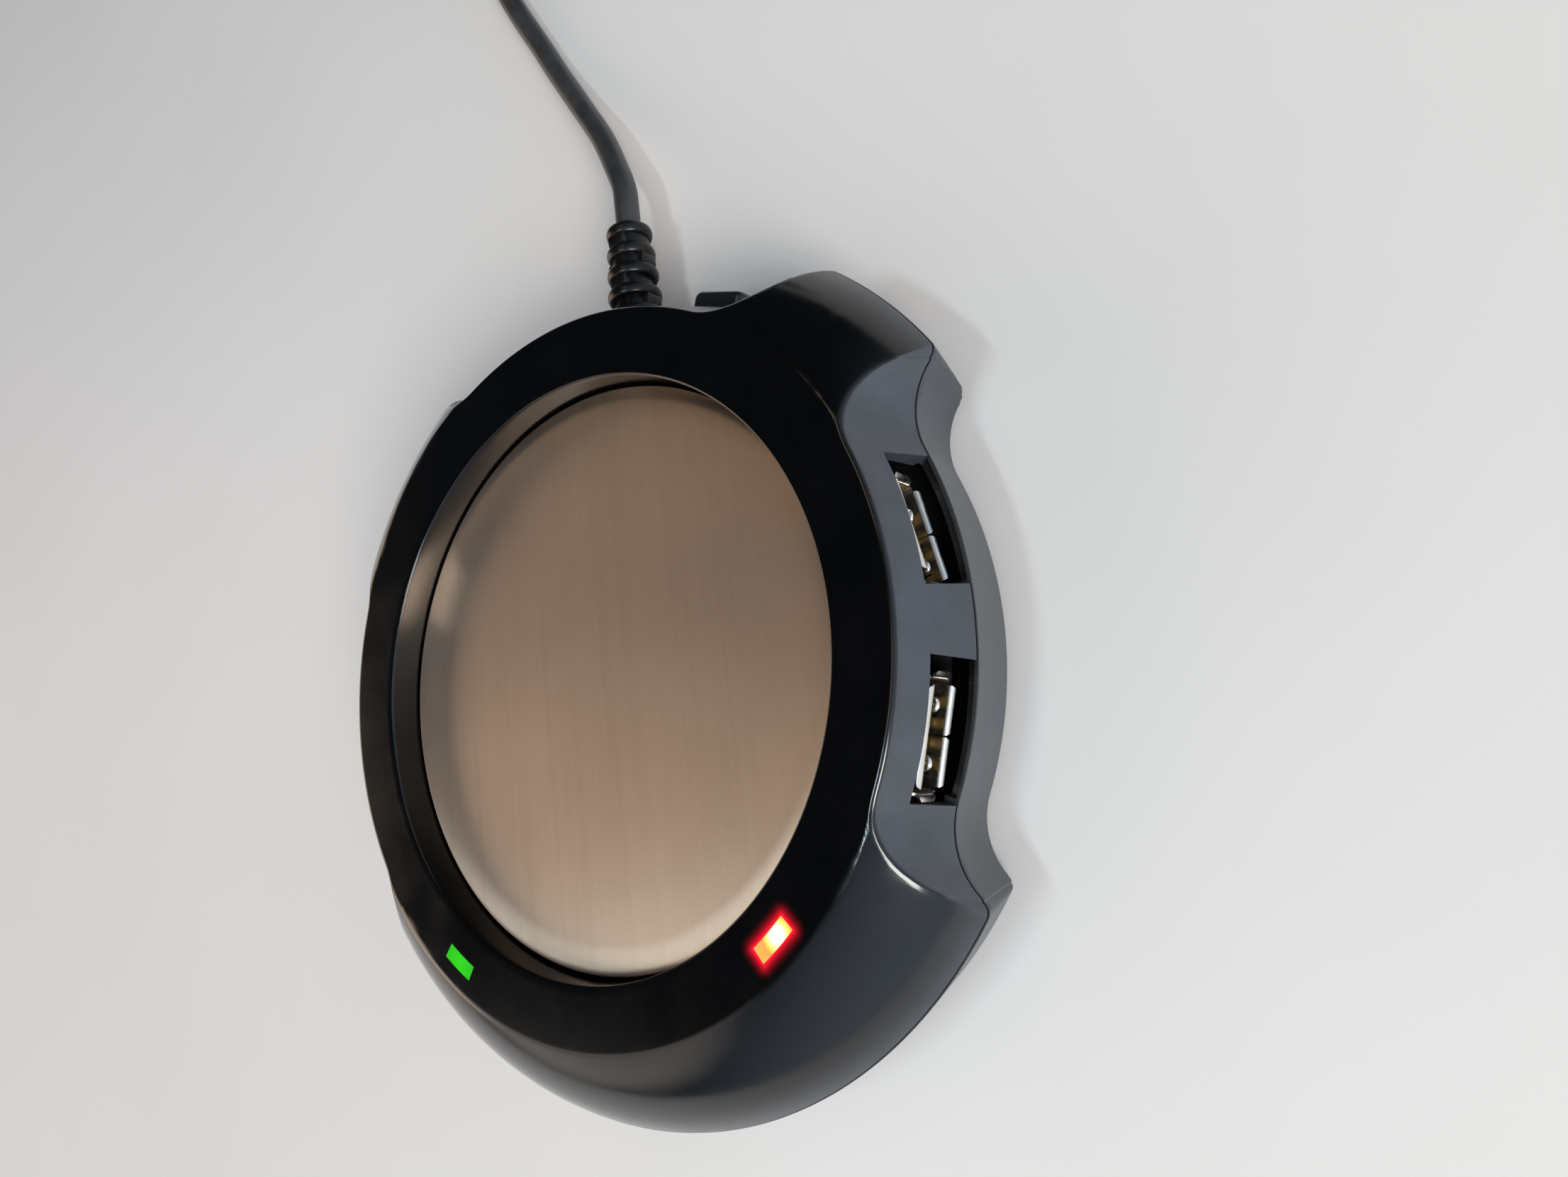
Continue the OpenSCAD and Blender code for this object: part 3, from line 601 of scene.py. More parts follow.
def make_cord():
    """The whole cord on one curve: the free run, the coil and the short tail into the plug."""
    low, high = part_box("plug_body")
    tail = [Vector((x * MM, (low.y + high.y) / 2, z * MM)) for x, z in TAIL]
    points = [Vector(p) * MM for p in ROUTE + [COIL_ENTRY]] + coil_points() + tail
    data = bpy.data.curves.new("cord_run", "CURVE")
    data.dimensions = "3D"
    data.bevel_depth = CORD_R
    data.bevel_resolution = 6
    data.use_fill_caps = True
    spline = data.splines.new("POLY")
    line = smooth_line(points, 4)
    spline.points.add(len(line) - 1)
    for at, p in zip(spline.points, line):
        at.co = (*p, 1)
    return link("cord_run", data), sum((b - a).length for a, b in zip(line, line[1:]))


def smooth_line(points, parts):
    """Catmull-Rom through the points."""
    out = []
    for i in range(len(points) - 1):
        p0, p1 = points[max(i - 1, 0)], points[i]
        p2, p3 = points[i + 1], points[min(i + 2, len(points) - 1)]
        for j in range(parts):
            t = j / parts
            out.append(0.5 * (2 * p1 + (p2 - p0) * t + (2 * p0 - 5 * p1 + 4 * p2 - p3) * t * t
                              + (3 * p1 - p0 - 3 * p2 + p3) * t * t * t))
    out.append(points[-1])
    return out


def make_plug():
    """Overmoulded plug: tapered sleeve with slots, a grip with ribs, and its metal tip."""
    low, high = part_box("plug_body")
    middle = (low.x, (low.y + high.y) / 2, (low.z + high.z) / 2)
    frame_at = turned(middle, -pi / 2)
    tail, grip_len, tip_len = 10, 22, 12

    def section(y, shape):
        return [Vector(mm(u, y, v)) for u, v in shape]

    grip = loft("plug_grip", [section(tail + y, rounded_outline(w, h, r)) for y, w, h, r in (
        (0, 14.2, 6.6, 1.6), (0.5, 15.2, 7.5, 1.9), (1.2, 15.5, 7.8, 2), (6, 15.5, 7.8, 2), (8, 14.7, 7.2, 1.9),
        (14, 14.7, 7.2, 1.9), (16, 15.5, 7.8, 2), (20.8, 15.5, 7.8, 2), (21.6, 15.1, 7.4, 1.9),
        (grip_len, 14.4, 6.8, 1.6))], caps=True)
    ribs = [box("rib", mm(-5, tail + y, 3.55), mm(5, tail + y + 0.8, 3.85), 0.12 * MM)
            for y in (8.4, 9.9, 11.4, 12.9)]
    profile = [(2.0, 0), (2.35, 0.3), (2.45, 1.6), (2.0, 1.8), (2.0, 2.5), (2.6, 2.7), (2.7, 4.1), (2.2, 4.3),
               (2.2, 5.0), (2.85, 5.2), (3.0, 6.6), (2.5, 6.8), (2.5, 7.5), (3.1, 7.7), (3.4, tail + 0.2)]
    sleeve = lathe("plug_sleeve", [mm(*p) for p in profile], (0, 0, 0), 32, "Y")
    body = join("plug_moulding", [grip, sleeve] + ribs)
    shade(body.data, CREASE)
    start, end = tail + grip_len, tail + grip_len + tip_len
    outer, inner = rounded_outline(12, 4.5, 0.5, 4), rounded_outline(11.4, 3.9, 0.3, 4)
    tip = loft("plug_tip", [section(y, shape) for y, shape in (
        (start, outer), (end - 0.15, outer), (end, inner), (end - 0.2, inner),
        (start + 0.4, inner))], caps=True)
    carve(tip, [box("hole", mm(x - 1, start + 5.2, 1.5), mm(x + 1, start + 7.4, 3)) for x in (-2.9, 2.9)])
    insert = box("plug_insert", mm(-5.6, start + 0.5, -1.9), mm(5.6, end - 0.5, -0.1), 0.15 * MM)
    for piece in (body, tip, insert):
        place(piece, frame_at)
    finish_piece(body, "plug_black", "plug_body")
    finish_piece(tip, "plug_metal", "plug_shell")
    finish_piece(insert, "plug_insert", slot="socket_insulator")
    return [body, tip, insert]


def make_tie():
    """Strap round the coil."""
    angle = radians(20)
    strap, gap = 0.75 * MM, 0.1 * MM
    half, height = 3 * CORD_R, 6 * CORD_R
    at = COIL + Vector((COIL_R * cos(angle), COIL_R * sin(angle), 0))
    outer = [(-half - strap, gap), (-half - strap, height), (-half, height + strap),
             (half, height + strap), (half + strap, height), (half + strap, gap)]
    inner = [(half + gap, gap), (half + gap, height - gap), (half - 4 * gap, height + gap),
             (-half + 4 * gap, height + gap), (-half - gap, height - gap), (-half - gap, gap)]
    loops = [[Vector((u, side, v)) for u, v in outer + inner] for side in mm(-2.4, 2.4)]
    band = loft("tie_strap", loops, caps=True)
    place(band, turned(at, angle))
    finish_piece(band, "tie_black", "cord_tie")
    return band


# ---------------- the two shells
# Radius of the outline's outer corners, and how far a cut-in's fillet stops short of them, in degrees
CORNER = 1.4 * MM
CORNER_TRIM = 8.6
FILLET_STEPS, CORNER_STEPS, ARC_STEP = 13, 7, 1.2 * MM
# Rows of one column of the upper skin: wall, rounded crease, top surface
WALL_ROWS, CREASE_ROWS, TOP_ROWS = 10, 6, 22
SEAM_GAP, SEAM_DEPTH = 0.35 * MM, 0.6 * MM
# Lobe columns over which the crown changes from a cut-in's rows to even ones
SPREAD_COLUMNS = 8
RING_STEPS = 8
SMOOTH_ROUNDS = 40
PLATE_LEDGE = 1.4 * MM


def heading(angle):
    """The level unit vector at an angle in radians."""
    return Vector((cos(angle), sin(angle), 0))


def level_part(point):
    return Vector((point.x, point.y, 0))


def lift(z):
    return Vector((0, 0, z))


def crown_height(radius):
    """Height of the top surface at a distance from the body's axis."""
    rise, run = TOP - SEAM, BODY_R - RING_R
    chord = sqrt(rise * rise + run * run)
    back = sqrt(CROWN_R ** 2 - chord * chord / 4)
    cx, cz = RING_R + run / 2 - back * rise / chord, SEAM + rise / 2 - back * run / chord
    if radius <= RING_R:
        return TOP
    return max(SEAM, cz + sqrt(max(0.0, CROWN_R ** 2 - (radius - cx) ** 2)))


def outline():
    """The seam's outline as (x, y, normal angle, on the crown) round the body, with its corners rounded."""
    points = []
    cut_centre = CORE_R + CUT_ROUND
    cos_t = (BODY_R ** 2 - cut_centre ** 2 - CUT_ROUND ** 2) / (2 * cut_centre * CUT_ROUND)
    end_t = 180 - degrees(atan2(sqrt(1 - cos_t ** 2), -cos_t))
    spread = degrees(asin(min(1.0, CUT_ROUND * sin(radians(end_t)) / BODY_R)))
    corner_angle = degrees(CORNER / BODY_R)

    def fillet(angle, side, order):
        centre = Vector((cos(radians(angle)), sin(radians(angle)))) * cut_centre
        for i in order:
            t = end_t + CORNER_TRIM + (180 - end_t - CORNER_TRIM) * i / FILLET_STEPS
            a = radians(angle + side * t)
            p = centre + Vector((cos(a), sin(a))) * CUT_ROUND
            points.append((p.x, p.y, a + pi, False))

    def rounded_corner(angle, side, order):
        edge = angle + side * spread
        for i in order:
            f = radians(90 * (i + 0.5) / CORNER_STEPS)
            r = BODY_R - CORNER + CORNER * sin(f)
            a = radians(edge + side * corner_angle * (1 - cos(f)))
            points.append((r * cos(a), r * sin(a), a - side * (pi / 2 - f), False))

    def arc(radius, a0, a1, crown):
        count = max(2, round(radians(a1 - a0) * radius / ARC_STEP))
        for i in range(count + 1):
            a = radians(a0 + (a1 - a0) * i / count)
            points.append((radius * cos(a), radius * sin(a), a, crown))

    for index, (start, end) in enumerate(CUTS):
        rounded_corner(start, -1, reversed(range(CORNER_STEPS)))
        fillet(start, -1, range(FILLET_STEPS))
        arc(CORE_R, start, end, False)
        fillet(end, 1, reversed(range(FILLET_STEPS)))
        rounded_corner(end, 1, range(CORNER_STEPS))
        following = CUTS[(index + 1) % 3][0] + (360 if index == 2 else 0)
        gap = spread + corner_angle + 0.8
        arc(BODY_R, end + gap, following - gap, True)
    return points


def ring_angles(points):
    """The angle on the ring that each outline point runs in to, evened out so that no strip is thin."""
    angles = []
    for x, y, _, _ in points:
        a = atan2(y, x)
        while angles and a < angles[-1] - pi:
            a += 2 * pi
        angles.append(a)
    count = len(angles)
    base = [angles[0] + 2 * pi * i / count for i in range(count)]
    shifts = [a - b for a, b in zip(angles, base)]
    for _ in range(SMOOTH_ROUNDS):
        shifts = [(shifts[i - 1] + shifts[i] + shifts[(i + 1) % count]) / 3 for i in range(count)]
    return [a + b for a, b in zip(base, shifts)]


def curve_through(a, b, c, parts):
    """Quadratic curve from a to c that leans on b."""
    return [(1 - t) ** 2 * a + 2 * t * (1 - t) * b + t * t * c for t in [i / parts for i in range(parts + 1)]]


def upper_column(point, ring_angle, spread):
    """One column of the upper shell's outer skin, from the seam up to the ring."""
    x, y, normal, crown = point
    foot = Vector((x, y, 0))
    out = heading(normal)
    inner = heading(ring_angle) * (RING_R - 1.2 * MM)
    # The crease softens a little from the bay out along the fillet
    along_bay = min(1.0, max(0.0, (foot.length - CORE_R) / (4 * MM)))
    softness = (0.55 + 0.1 * along_bay) * MM

    def wall_at(z):
        return foot * (1 - CORE_DRAFT_UP * (z - SEAM) / CORE_R) + lift(z)

    def crown_at(flat):
        return Vector((flat.x, flat.y, crown_height(flat.length)))

    # The wall meets the crown between low and high
    low, high = SEAM, TOP
    for _ in range(30):
        middle = (low + high) / 2
        if crown_height(level_part(wall_at(middle)).length) > middle:
            low = middle
        else:
            high = middle
    crease_z = SEAM if crown else low
    soft = min(softness, 0.45 * (crease_z - SEAM))
    crease = wall_at(crease_z)
    rows = [wall_at(SEAM + (crease_z - soft - SEAM) * i / WALL_ROWS) for i in range(WALL_ROWS)]
    turn_in = crown_at(level_part(crease) - out * soft)
    rows += curve_through(wall_at(crease_z - soft), crease, turn_in, CREASE_ROWS)
    start = level_part(turn_in)
    rows += [crown_at(start.lerp(inner, (i / TOP_ROWS) ** 1.35)) for i in range(1, TOP_ROWS + 1)]
    if spread > 0:
        last = len(rows) - 1
        even = [crown_at(foot.lerp(inner, (i / last) ** 1.25)) for i in range(len(rows))]
        rows = [crown_at(level_part(a).lerp(level_part(b), spread)) for a, b in zip(rows, even)]
    return rows


def crown_spreads(points):
    """How far each lobe column is from the nearest cut-in, from 0 beside it to 1 well away."""
    count = len(points)
    result = []
    for i in range(count):
        if not points[i][3]:
            result.append(0.0)
            continue
        away = next(d for d in range(1, count) if not (points[(i + d) % count][3] and points[i - d][3]))
        result.append(min(1.0, away / SPREAD_COLUMNS))
    return result


def above_level(column, level):
    """The column with everything below a level drawn up to where the column passes it."""
    first = next(i for i, p in enumerate(column) if p.z > level)
    if first == 0:
        return column
    low, high = column[first - 1], column[first]
    crossing = low.lerp(high, (level - low.z) / (high.z - low.z))
    return [crossing.copy() for _ in range(first)] + column[first:]


def make_upper_shell():
    """Outer skin, ring, seat wall, ledge and inner skin in one loft, cut for the ports and windows."""
    points = outline()
    offset = SEAT - BODY
    edge = 0.35 * MM
    turns = [radians(a) for a in (18, 36, 54, 72, 90)]
    columns = []
    for point, angle, spread in zip(points, ring_angles(points), crown_spreads(points)):
        skin = upper_column(point, angle, spread)
        foot = skin[0]
        out, ray = heading(point[2]), heading(angle)
        groove = [foot - out * SEAM_DEPTH + lift(h) for h in (0, SEAM_GAP)]
        outer = above_level(skin, SEAM + SEAM_GAP)
        far, near = level_part(outer[-1]), offset + ray * (SEAT_R + edge)
        ring = [far.lerp(near, i / RING_STEPS) for i in range(1, RING_STEPS + 1)]
        ring = [Vector((p.x, p.y, TOP)) for p in ring]
        bend = [offset + ray * (SEAT_R + edge * (1 - sin(a))) + lift(TOP - edge * (1 - cos(a)))
                for a in turns]
        down = [offset + ray * SEAT_R + lift(z) for z in
                (TOP - 1.2 * MM, TOP - 2.2 * MM, TOP - 3.3 * MM, PLATE_TOP, PLATE_TOP - 0.9 * MM,
                 PLATE_TOP - PLATE_LEDGE)]
        behind = offset + ray * (SEAT_R + WALL)
        under = [behind + lift(PLATE_TOP - PLATE_LEDGE), behind + lift(TOP - WALL)]
        inside = []
        for t in (0.25, 0.5, 0.75, 1.0):
            flat = behind.lerp(level_part(foot) - out * (WALL + 1.6 * MM), t)
            ceiling = crown_height(flat.length + 2.2 * MM) - WALL - 0.2 * MM
            inside.append(Vector((flat.x, flat.y, max(SEAM + 0.2 * MM, ceiling))))
        bottom = [foot - out * (WALL + 0.4 * MM)]
        columns.append([p + BODY for p in groove + outer + ring + bend + down + under + inside + bottom])
    shell = loft("housing_upper", [list(row) for row in zip(*columns)], close_rows=True)
    low, high = (44 * MM, -PORT_W / 2, SEAM - 1 * MM), (56 * MM, PORT_W / 2, SEAM + PORT_H)
    cutters = [place(box("cut", low, high), port_matrix(side, angle)) for side, _, angle in PORTS]
    cutters += [window_piece("cut", side, TOP - 1.6 * MM, TOP + 1 * MM, 0.06 * MM) for side in (1, -1)]
    carve(shell, cutters)
    finish_piece(shell, "gloss_black", "upper_shell")


def port_matrix(side, angle):
    """Port frame to row frame: +X out of the port, origin on the seat's axis."""
    mirror = Matrix.Scale(-1, 4, Vector((1, 0, 0))) if side == "left" else Matrix.Identity(4)
    return Matrix.Translation(SEAT) @ mirror @ Matrix.Rotation(radians(angle), 4, "Z")


def sector(name, at, side, inner, outer, a0, a1, steps, z0, z1):
    """A block between two radii, two angles and two heights, mirrored when side is -1."""
    angles = [a0 + (a1 - a0) * i / steps for i in range(steps + 1)]
    flat = [(outer * cos(a), outer * sin(a)) for a in angles]
    flat += [(inner * cos(a), inner * sin(a)) for a in reversed(angles)]
    return loft(name, [[at + Vector((side * x, y, z)) for x, y in flat] for z in (z0, z1)], caps=True)


def window_piece(name, side, z0, z1, grow=0.0):
    """Sector of the ring between the window's two angles, grown on every side."""
    a0, a1 = (radians(a) for a in WINDOW_ANGLES)
    r0, r1 = WINDOW_R[0] - grow, WINDOW_R[1] + grow
    swell = grow / ((r0 + r1) / 2)
    return sector(name, SEAT, side, r0, r1, a0 + swell, a1 - swell, 16, z0, z1)


def rim_notch(side, angle):
    """The sector cut from the lower shell's rim under a port, up to a thin outer lip."""
    half, middle = asin(PORT_W / 2 / CORE_R), radians(angle)
    return sector("cut", BODY, -1 if side == "left" else 1, 40 * MM, CORE_R - 0.5 * MM, middle - half,
                  middle + half, 14, SEAM - 1.6 * MM, SEAM + 1 * MM)


def make_lower_shell():
    """Drafted wall, rounded foot, floor and inner skin in one loft, with its openings cut."""
    height = SEAM - BASE
    rounding, chamfer = 2.5 * MM, 0.12 * MM
    slope = sqrt(1 + LOBE_DRAFT ** 2)
    edge = BODY_R - LOBE_DRAFT * (height - rounding) - rounding * slope

    def lobe_radius(z):
        touch = BASE + rounding * (1 - LOBE_DRAFT / slope)
        if z >= touch:
            return BODY_R - LOBE_DRAFT * (SEAM - z)
        return edge + sqrt(max(0.0, rounding ** 2 - (BASE + rounding - z) ** 2))

    levels = [SEAM, SEAM - chamfer] + [SEAM - height * i / 12 for i in range(1, 10)]
    levels += [BASE + rounding * (1 - sin(radians(a))) for a in (0, 15, 30, 45, 60, 70, 80, 90)]
    columns = []
    for x, y, normal, crown in outline():
        flat = Vector((x, y, 0))
        ray = flat.normalized()

        def radius(z):
            core = flat.length * (1 - CORE_DRAFT_DOWN * (SEAM - z) / CORE_R)
            return lobe_radius(z) if crown else min(lobe_radius(z), core)

        skin = [ray * (radius(z) - (0.0 if i else chamfer)) + lift(z) for i, z in enumerate(levels)]
        if radius(BASE) < edge - 0.2 * MM:
            skin[-1] = ray * (radius(BASE) - 0.35 * MM) + lift(BASE)
            skin[-2] = ray * (radius(BASE) - 0.08 * MM) + lift(BASE + chamfer)
        under = [ray * (skin[-1].length * t) for t in (0.9, 0.7, 0.45, 0.2, 0.0)]
        under = [Vector((p.x, p.y, BASE)) for p in under]
        inner_low = ray * (radius(BASE + 3 * MM) - WALL - 1.2 * MM)
        floor = [Vector((inner_low.x * t, inner_low.y * t, BASE + WALL)) for t in (0.0, 0.2, 0.5, 0.8, 1.0)]
        rim_in = flat - heading(normal) * WALL
        inside = [Vector((rim_in.x, rim_in.y, z)) for z in (SEAM - 4 * MM, SEAM)]
        columns.append([p + BODY for p in skin + under + floor + inside])
    shell = loft("housing_lower", [list(row) for row in zip(*columns)], close_rows=True)
    carve(shell, [rim_notch(side, angle) for side, _, angle in PORTS] + lower_cutters())
    finish_piece(shell, "satin_black", "lower_shell")


def lower_cutters():
    """Button opening, hole and seat for the relief, foot recesses and screw wells."""
    clear = 0.3 * MM
    turn = turned(BODY, radians(BUTTON_ANGLE))
    hole = rounded_outline((BUTTON_W + 2 * clear) / MM, (BUTTON_H + 2 * clear) / MM, 1.3)
    loops = [[turn @ Vector((x, u * MM, BUTTON_Z + v * MM)) for u, v in hole] for x in (45 * MM, 56 * MM)]
    cutters = [loft("cut", loops, caps=True)]

    def drill(radius, low, high, at, steps, axis="Z"):
        cutters.append(lathe("cut", [(radius, low), (radius, high)], at, steps, axis))

    drill(3.25 * MM, -6 * MM, 6 * MM, (0, BODY.y + 49 * MM, RELIEF_Z), 48, "Y")
    drill(4.5 * MM, 0, 5 * MM, (0, RELIEF_START, RELIEF_Z), 48, "Y")
    for centre, ring, angles, radius, depth, steps in (
            (SEAT, 40 * MM, (-60, -120, 50, 130), 4.6 * MM, 0.8 * MM, 48),
            (BODY, 51 * MM, (-60, -120, 40.2, 135.5), 2.6 * MM, 1.9 * MM, 32)):
        for angle in angles:
            drill(radius, -3 * MM, depth, centre + heading(radians(angle)) * ring + lift(BASE), steps)
    return cutters


# ---------------- plate and windows
def make_plate():
    edge, thickness = 0.25 * MM, 0.9 * MM
    profile = [(0.0, -thickness), (PLATE_R - 0.1 * MM, -thickness), (PLATE_R, -0.8 * MM), (PLATE_R, -edge)]
    profile += [(PLATE_R - edge * (1 - cos(radians(a))), -edge * (1 - sin(radians(a)))) for a in (30, 60, 90)]
    profile += [(PLATE_R * t, 0.0) for t in (0.9, 0.6, 0.3, 0.0)]
    plate = lathe("mug_plate", profile, SEAT + lift(PLATE_TOP), 192, caps=False)
    finish_piece(plate, "brushed_plate", "warming_plate")


def make_windows():
    for side, colour, node in ((1, "window_red", "led_window_right"),
                               (-1, "window_green", "led_window_left")):
        piece = window_piece("light_" + colour, side, TOP - 1.55 * MM, TOP - 0.03 * MM)
        finish_piece(piece, colour, node)


# ---------------- receptacles
SOCKET_W, SOCKET_H, SOCKET_T = 13.1 * MM, 5.7 * MM, 0.3 * MM
SOCKET_BACK = 37.3 * MM
# Spring fingers and their dimples, sideways and up or down from the middle of the socket
FINGERS = [(y, z) for y in (-3.3, 3.3) for z in (-1, 1)]
CONTACT_PITCH = 2.3
# Turn about the socket's axis, distance from it, width, flare, taper, reach, lead and shift along each wall
LIPS = [
    (0, SOCKET_H / 2, 11.4, 130, 0.7, 0.25, 0.75, 0),
    (180, SOCKET_H / 2, 5.6, 62, 0.3, 0.22, 0.0, 2.9),
    (180, SOCKET_H / 2, 5.6, 62, 0.3, 0.22, 0.0, -2.9),
    (90, SOCKET_W / 2, 3.8, 82, 0.5, 0.35, 0.0, 0),
    (-90, SOCKET_W / 2, 3.8, 82, 0.5, 0.35, 0.0, 0),
]


def flap(start, turn, distance, width, flare, taper, reach, lead, shift):
    """A lip bent outwards from a wall of the receptacle, with its ends rounded off."""
    steps, across, bend_steps = 8, 12, 6
    width, taper, reach, lead = width * MM, taper * MM, reach * MM, lead * MM
    points, faces = [], []
    radius = 0.5 * MM
    for j in range(steps + 1):
        a = radians(flare) * min(1, j / bend_steps)
        extra = max(0, j - bend_steps) / (steps - bend_steps) * reach
        x = start + (lead if j else 0.0) + radius * sin(a) + extra * cos(a)
        rise = radius * (1 - cos(a)) + extra * sin(a)
        narrow = taper * (j / steps) ** 3
        for i in range(across + 1):
            u = (i / across - 0.5) * (width - 2 * narrow)
            points.append((x, u, distance - SOCKET_T / 2 + rise))
    for j in range(steps):
        for i in range(across):
            a = j * (across + 1) + i
            faces.append((a, a + 1, a + across + 2, a + across + 1))
    thing = mesh_object("flap", points, faces, 60)
    thick = thing.modifiers.new("thick", "SOLIDIFY")
    thick.thickness = SOCKET_T
    thick.offset = 0
    apply_modifiers(thing, 50)
    thing.data.transform(Matrix.Translation((0, shift * MM, 0)) @ Matrix.Rotation(radians(turn), 4, "X"))
    return thing


def dome(name, radius, height, centre, steps):
    """A low closed dome over its centre, upwards, or downwards when its height is negative."""
    arc = [(radius * sin(radians(a)), height * cos(radians(a))) for a in range(90, -1, -15)]
    return lathe(name, [(0, 0)] + arc, centre, steps, caps=False)


def socket_tube(start):
    """The rolled tube with its seam and the slits beside its spring fingers."""
    outer, inner = [rounded_outline(SOCKET_W / MM - less, SOCKET_H / MM - less, r, 5)
                    for less, r in ((0, 0.55), (0.6, 0.3))]
    loops = [[Vector((x, u * MM, v * MM)) for u, v in shape] for x, shape in (
        (SOCKET_BACK, outer), (start, outer), (start + 0.05 * MM, inner), (SOCKET_BACK + 0.3 * MM, inner))]
    tube = loft("tube", loops, caps=True, smooth=50)
    cutters = [box("cut", (SOCKET_BACK - 1 * MM, -0.06 * MM, -SOCKET_H / 2 - 0.2 * MM),
                   (start + 1 * MM, 0.06 * MM, -SOCKET_H / 2 + SOCKET_T + 0.1 * MM))]
    for y, z in FINGERS:
        wall = z * (SOCKET_H / 2 - SOCKET_T / 2)
        for dy in (-1.15, 1.15):
            cutters.append(box("cut", (40.5 * MM, (y + dy - 0.12) * MM, wall - 0.4 * MM),
                               (45.6 * MM, (y + dy + 0.12) * MM, wall + 0.4 * MM)))
    carve(tube, cutters, 50)
    return tube


def make_socket(side, name, angle):
    """One receptacle: rolled tube, lips, spring fingers, tongue and contacts."""
    tag = side + "_" + name
    matrix = port_matrix(side, angle) @ Matrix.Translation((0, -SOCKET_SHIFT, SOCKET_Z))
    start = SOCKET_FRONT - 0.86 * MM
    parts = [socket_tube(start)] + [flap(start, *lip) for lip in LIPS]
    for y, z in FINGERS:
        dimple = dome("dimple", 0.95 * MM, 0.42 * MM, (44.9 * MM, y * MM, 0), 20)
        dimple.data.transform(Matrix.Translation((0, 0, -SOCKET_H / 2 + SOCKET_T - 0.02 * MM)))
        if z > 0:
            dimple.data.transform(Matrix.Rotation(pi, 4, "X"))
        parts.append(dimple)
    for x in (39.4, 43.6):
        for y in (-1, 1):
            centre = y * (SOCKET_W / 2 - SOCKET_T / 2)
            parts.append(box("tab", (x * MM, centre - SOCKET_T / 2, -SOCKET_H / 2 - 2.4 * MM),
                             ((x + 1.8) * MM, centre + SOCKET_T / 2, -SOCKET_H / 2 + 0.5 * MM), 0.08 * MM))
    shell = join("socket_" + tag, parts)
    shade(shell.data, 50)
    tongue = join("tongue_" + tag, [
        box("block", mm(37.4, -6.2, -2.5), mm(39.2, 6.2, 2.5), 0.1 * MM),
        box("blade", mm(38, -5.55, 0.6), mm(46.3, 5.55, 2.2), 0.22 * MM),
    ])
    strips = []
    for i in (-1.5, -0.5, 0.5, 1.5):
        y = i * CONTACT_PITCH
        strips.append(box("strip", mm(39.3, y - 0.5, 0.4), mm(45.4, y + 0.5, 0.6), 0.06 * MM))
        strips.append(dome("bump", 0.5 * MM, -0.2 * MM, mm(43.6, y, 0.42), 16))
    contacts = join("contacts_" + tag, strips)
    for piece, finish, node in ((shell, "socket_metal", "usb_shell_"),
                                (tongue, "socket_insulator", "usb_tongue_"),
                                (contacts, "contact_gold", "usb_contacts_")):
        place(piece, matrix)
        finish_piece(piece, finish, node + tag)


# ---------------- push cap and strain relief
def make_button():
    """Push cap with a crowned face and soft edges, its flange and stem behind the wall."""
    soft, corner = 0.8, 1.5
    width, height = BUTTON_W / MM, BUTTON_H / MM
    loops = []

    def ring(shape, depth, crowned=True):
        row = []
        for u, v in shape:
            sunk = BUTTON_CROWN - sqrt(BUTTON_CROWN ** 2 - (u * MM) ** 2) if crowned else 0.0
            row.append(Vector((BUTTON_FACE - sunk + depth * MM, u * MM, BUTTON_Z + v * MM)))
        loops.append(row)

    ring(rounded_outline(width, height, corner), -7.6, False)
    for a in (0, 20, 40, 60, 75):
        inset = soft * (1 - cos(radians(a)))
        shape = rounded_outline(width - 2 * inset, height - 2 * inset, corner - inset)
        ring(shape, soft * (sin(radians(a)) - 1))
    for shrink in (0.8, 0.5, 0.2, 0.02):
        ring([(u * shrink, v * shrink) for u, v in rounded_outline(width - 1.5, height - 1.5, 0.75)], -0.005)
    parts = [loft("cap", loops, caps=True, smooth=40)]
    for name, near, far, half_w, half_h in (("flange", 45.8, 46.7, width / 2 + 1, height / 2 + 0.2),
                                            ("stem", 41, 46.5, 1.5, 1.5)):
        z = BUTTON_Z / MM
        parts.append(box(name, mm(near, -half_w, z - half_h), mm(far, half_w, z + half_h), 0.15 * MM))
    button = join("push_cap", parts)
    place(button, turned(BODY, radians(BUTTON_ANGLE)))
    finish_piece(button, "gloss_black_cap", "power_button", body="button")


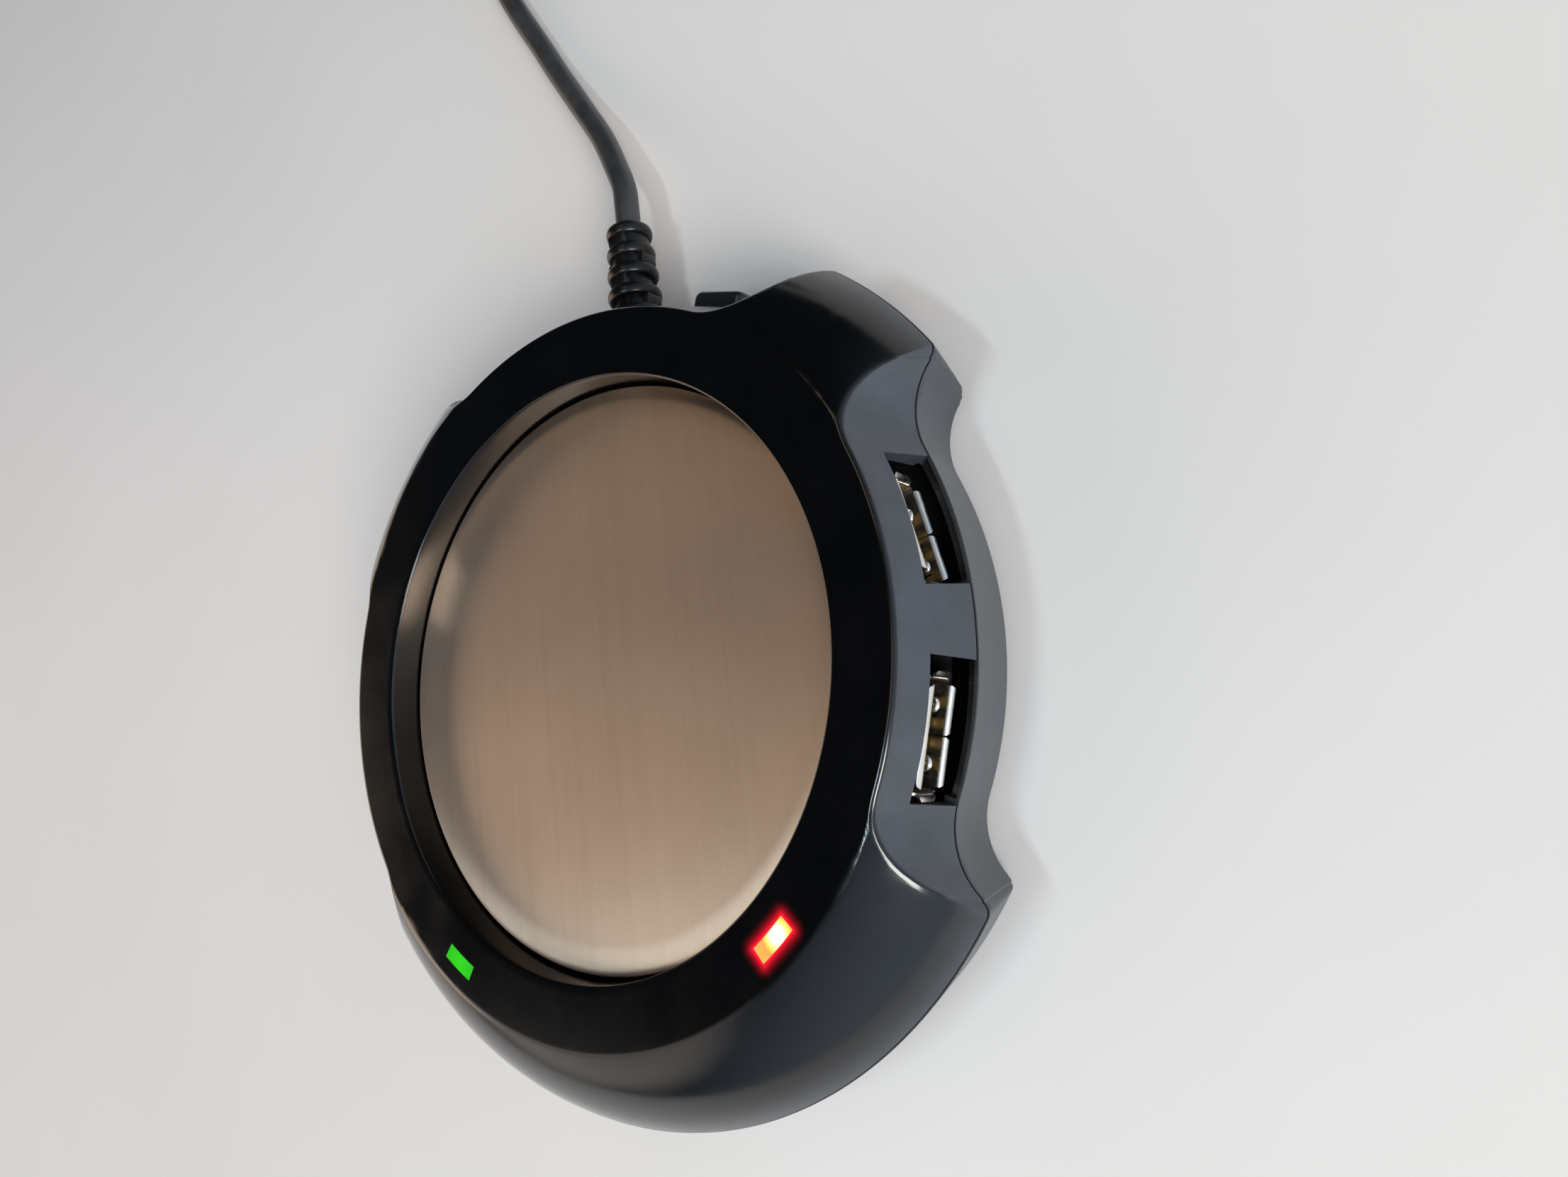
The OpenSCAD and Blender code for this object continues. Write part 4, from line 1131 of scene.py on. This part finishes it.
def make_relief():
    """Tapered ribbed sleeve, its ribs broken in turn at the sides and at top and bottom."""
    ribs, root = 6, 2.5 * MM
    length = RELIEF_HIGH.y - RELIEF_START
    run = length / MM
    at = (0, RELIEF_START, RELIEF_Z)

    def along(t):
        """Distance of a place among the ribs, from 0 at the first to 1 at the last."""
        return 0.9 * MM + (length - 2.3 * MM) * t

    core = [(0, -4.5), (3.2, -4.5), (3.2, 0.0), (3.1, 0.3), (2.9, run - 1.6), (2.7, run - 0.4), (2.2, run),
            (0, run)]
    pieces = [lathe("core", [mm(*p) for p in core], at, 48, "Y", caps=False)]
    for i in range(ribs):
        t = i / (ribs - 1)
        r, middle, half = (4.45 - 0.95 * t) * MM, along(t), (0.95 if i else 0.9) * MM
        profile = [(root, middle - half)]
        profile += [(r - half * 0.55 * (1 - sin(radians(a))), middle - half * cos(radians(a)))
                    for a in range(0, 181, 20)]
        pieces.append(lathe("rib", profile + [(root, middle + half)], at, 48, "Y"))
    for i in range(ribs - 1):
        t = (i + 0.5) / (ribs - 1)
        middle, r = RELIEF_START + along(t), (4.15 - 0.9 * t) * MM
        x, z = (1.5 * MM, r) if i % 2 == 0 else (r, 1.5 * MM)
        low, high = (-x, middle - 0.9 * MM, RELIEF_Z - z), (x, middle + 0.9 * MM, RELIEF_Z + z)
        pieces.append(box("bridge", low, high, 0.25 * MM))
    relief = join("ribbed_relief", pieces)
    shade(relief.data, 40)
    flange = lathe("relief_flange", [mm(*p) for p in ((0, 0), (3.8, 0), (3.8, 2), (0, 2))],
                   (0, RELIEF_LOW.y, RELIEF_Z), 48, "Y", caps=False)
    whole = join("strain_relief_sleeve", [relief, flange])
    finish_piece(whole, "matte_black", "strain_relief")
    return whole


# ---------------- floor and light
FLOOR_HALF = 1.5
# The overhead panels: their height and the height that they aim at
PANEL_Z, PANEL_AIM = 0.80, 0.02
ROOM_LIGHT = (0.02, 0.028, 0.038)
# Soft patches of brightness in the room, as (direction, start, end, colour)
ROOM_PATCHES = [
    ((0.85, -0.50, 0.0), -0.30, 0.90, (0.72, 0.85, 1.04)),
    ((-0.74, -0.52, 0.42), 0.86, 0.96, (0.95, 0.85, 0.76)),
    ((-1.0, 0.05, 0.15), 0.88, 0.965, (2.1, 1.64, 1.26)),
]


def make_stage():
    corners = [(x * FLOOR_HALF, y * FLOOR_HALF, 0) for x, y in ((-1, -1), (1, -1), (1, 1), (-1, 1))]
    floor = mesh_object("floor", corners, [(0, 1, 2, 3)])
    floor.data.materials.append(floor_material())


def area_light(name, place_at, target, width, height, power, colour):
    data = bpy.data.lights.new(name, "AREA")
    data.shape = "RECTANGLE"
    data.size, data.size_y = width, height
    data.energy = power
    data.color = colour
    lamp = link(name, data)
    lamp.location = place_at
    lamp.rotation_euler = (Vector(target) - Vector(place_at)).to_track_quat("-Z", "Y").to_euler()


def make_world():
    """A dim room with its soft patches."""
    world = bpy.data.worlds.new("studio")
    world.use_nodes = True
    direction = add_node(world, "TexCoord").outputs["Generated"]
    total = ROOM_LIGHT
    for toward, start, end, colour in ROOM_PATCHES:
        facing = combine(world, "DOT_PRODUCT", direction, Vector(toward).normalized())
        amount = span(world, facing, start, end, {"interpolation_type": "SMOOTHSTEP"})
        tinted = wire(world, add_node(world, "VectorMath", {"operation": "SCALE"}, Scale=amount), {0: colour})
        total = combine(world, "ADD", tinted.outputs[0], total)
    wire(world, world.node_tree.nodes["Background"], {0: total})
    bpy.context.scene.world = world


def light_scene():
    make_world()
    area_light("key", (0.62, -0.52, 0.56), (0, 0, 0), 0.36, 0.36, 6.9, (1.0, 0.97, 0.93))
    area_light("strip", (-0.05, -0.175, PANEL_Z), (0, -0.15, PANEL_AIM), 0.25, 0.05, 1.2, (0.76, 0.90, 1.0))
    # Two warm panels with a gap between them, which leaves a darker band on the brushed plate
    for name, low, high, power in (("warm_front", -0.08, 0.115, 0.85), ("warm_rear", 0.265, 0.60, 1.0)):
        middle, depth = (low + high) / 2, high - low
        area_light(name, (0.0, middle, PANEL_Z), (0.0, middle, PANEL_AIM), 0.25, depth, power * depth,
                   (1.0, 0.77, 0.56))
    bpy.context.scene.view_settings.view_transform = "Standard"


# ---------------- build
aim_camera()
paint_cad_nodes()
cord, cord_length = make_cord()
plug_pieces = make_plug()
tie = make_tie()
relief = make_relief()
cord.data.materials.append(MATERIALS["cord_jacket"])
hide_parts("cord", "cord_coil")
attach(cord, "housing")
make_upper_shell()
make_lower_shell()
make_plate()
make_windows()
for side, name, angle in PORTS:
    make_socket(side, name, angle)
make_button()
make_stage()
light_scene()
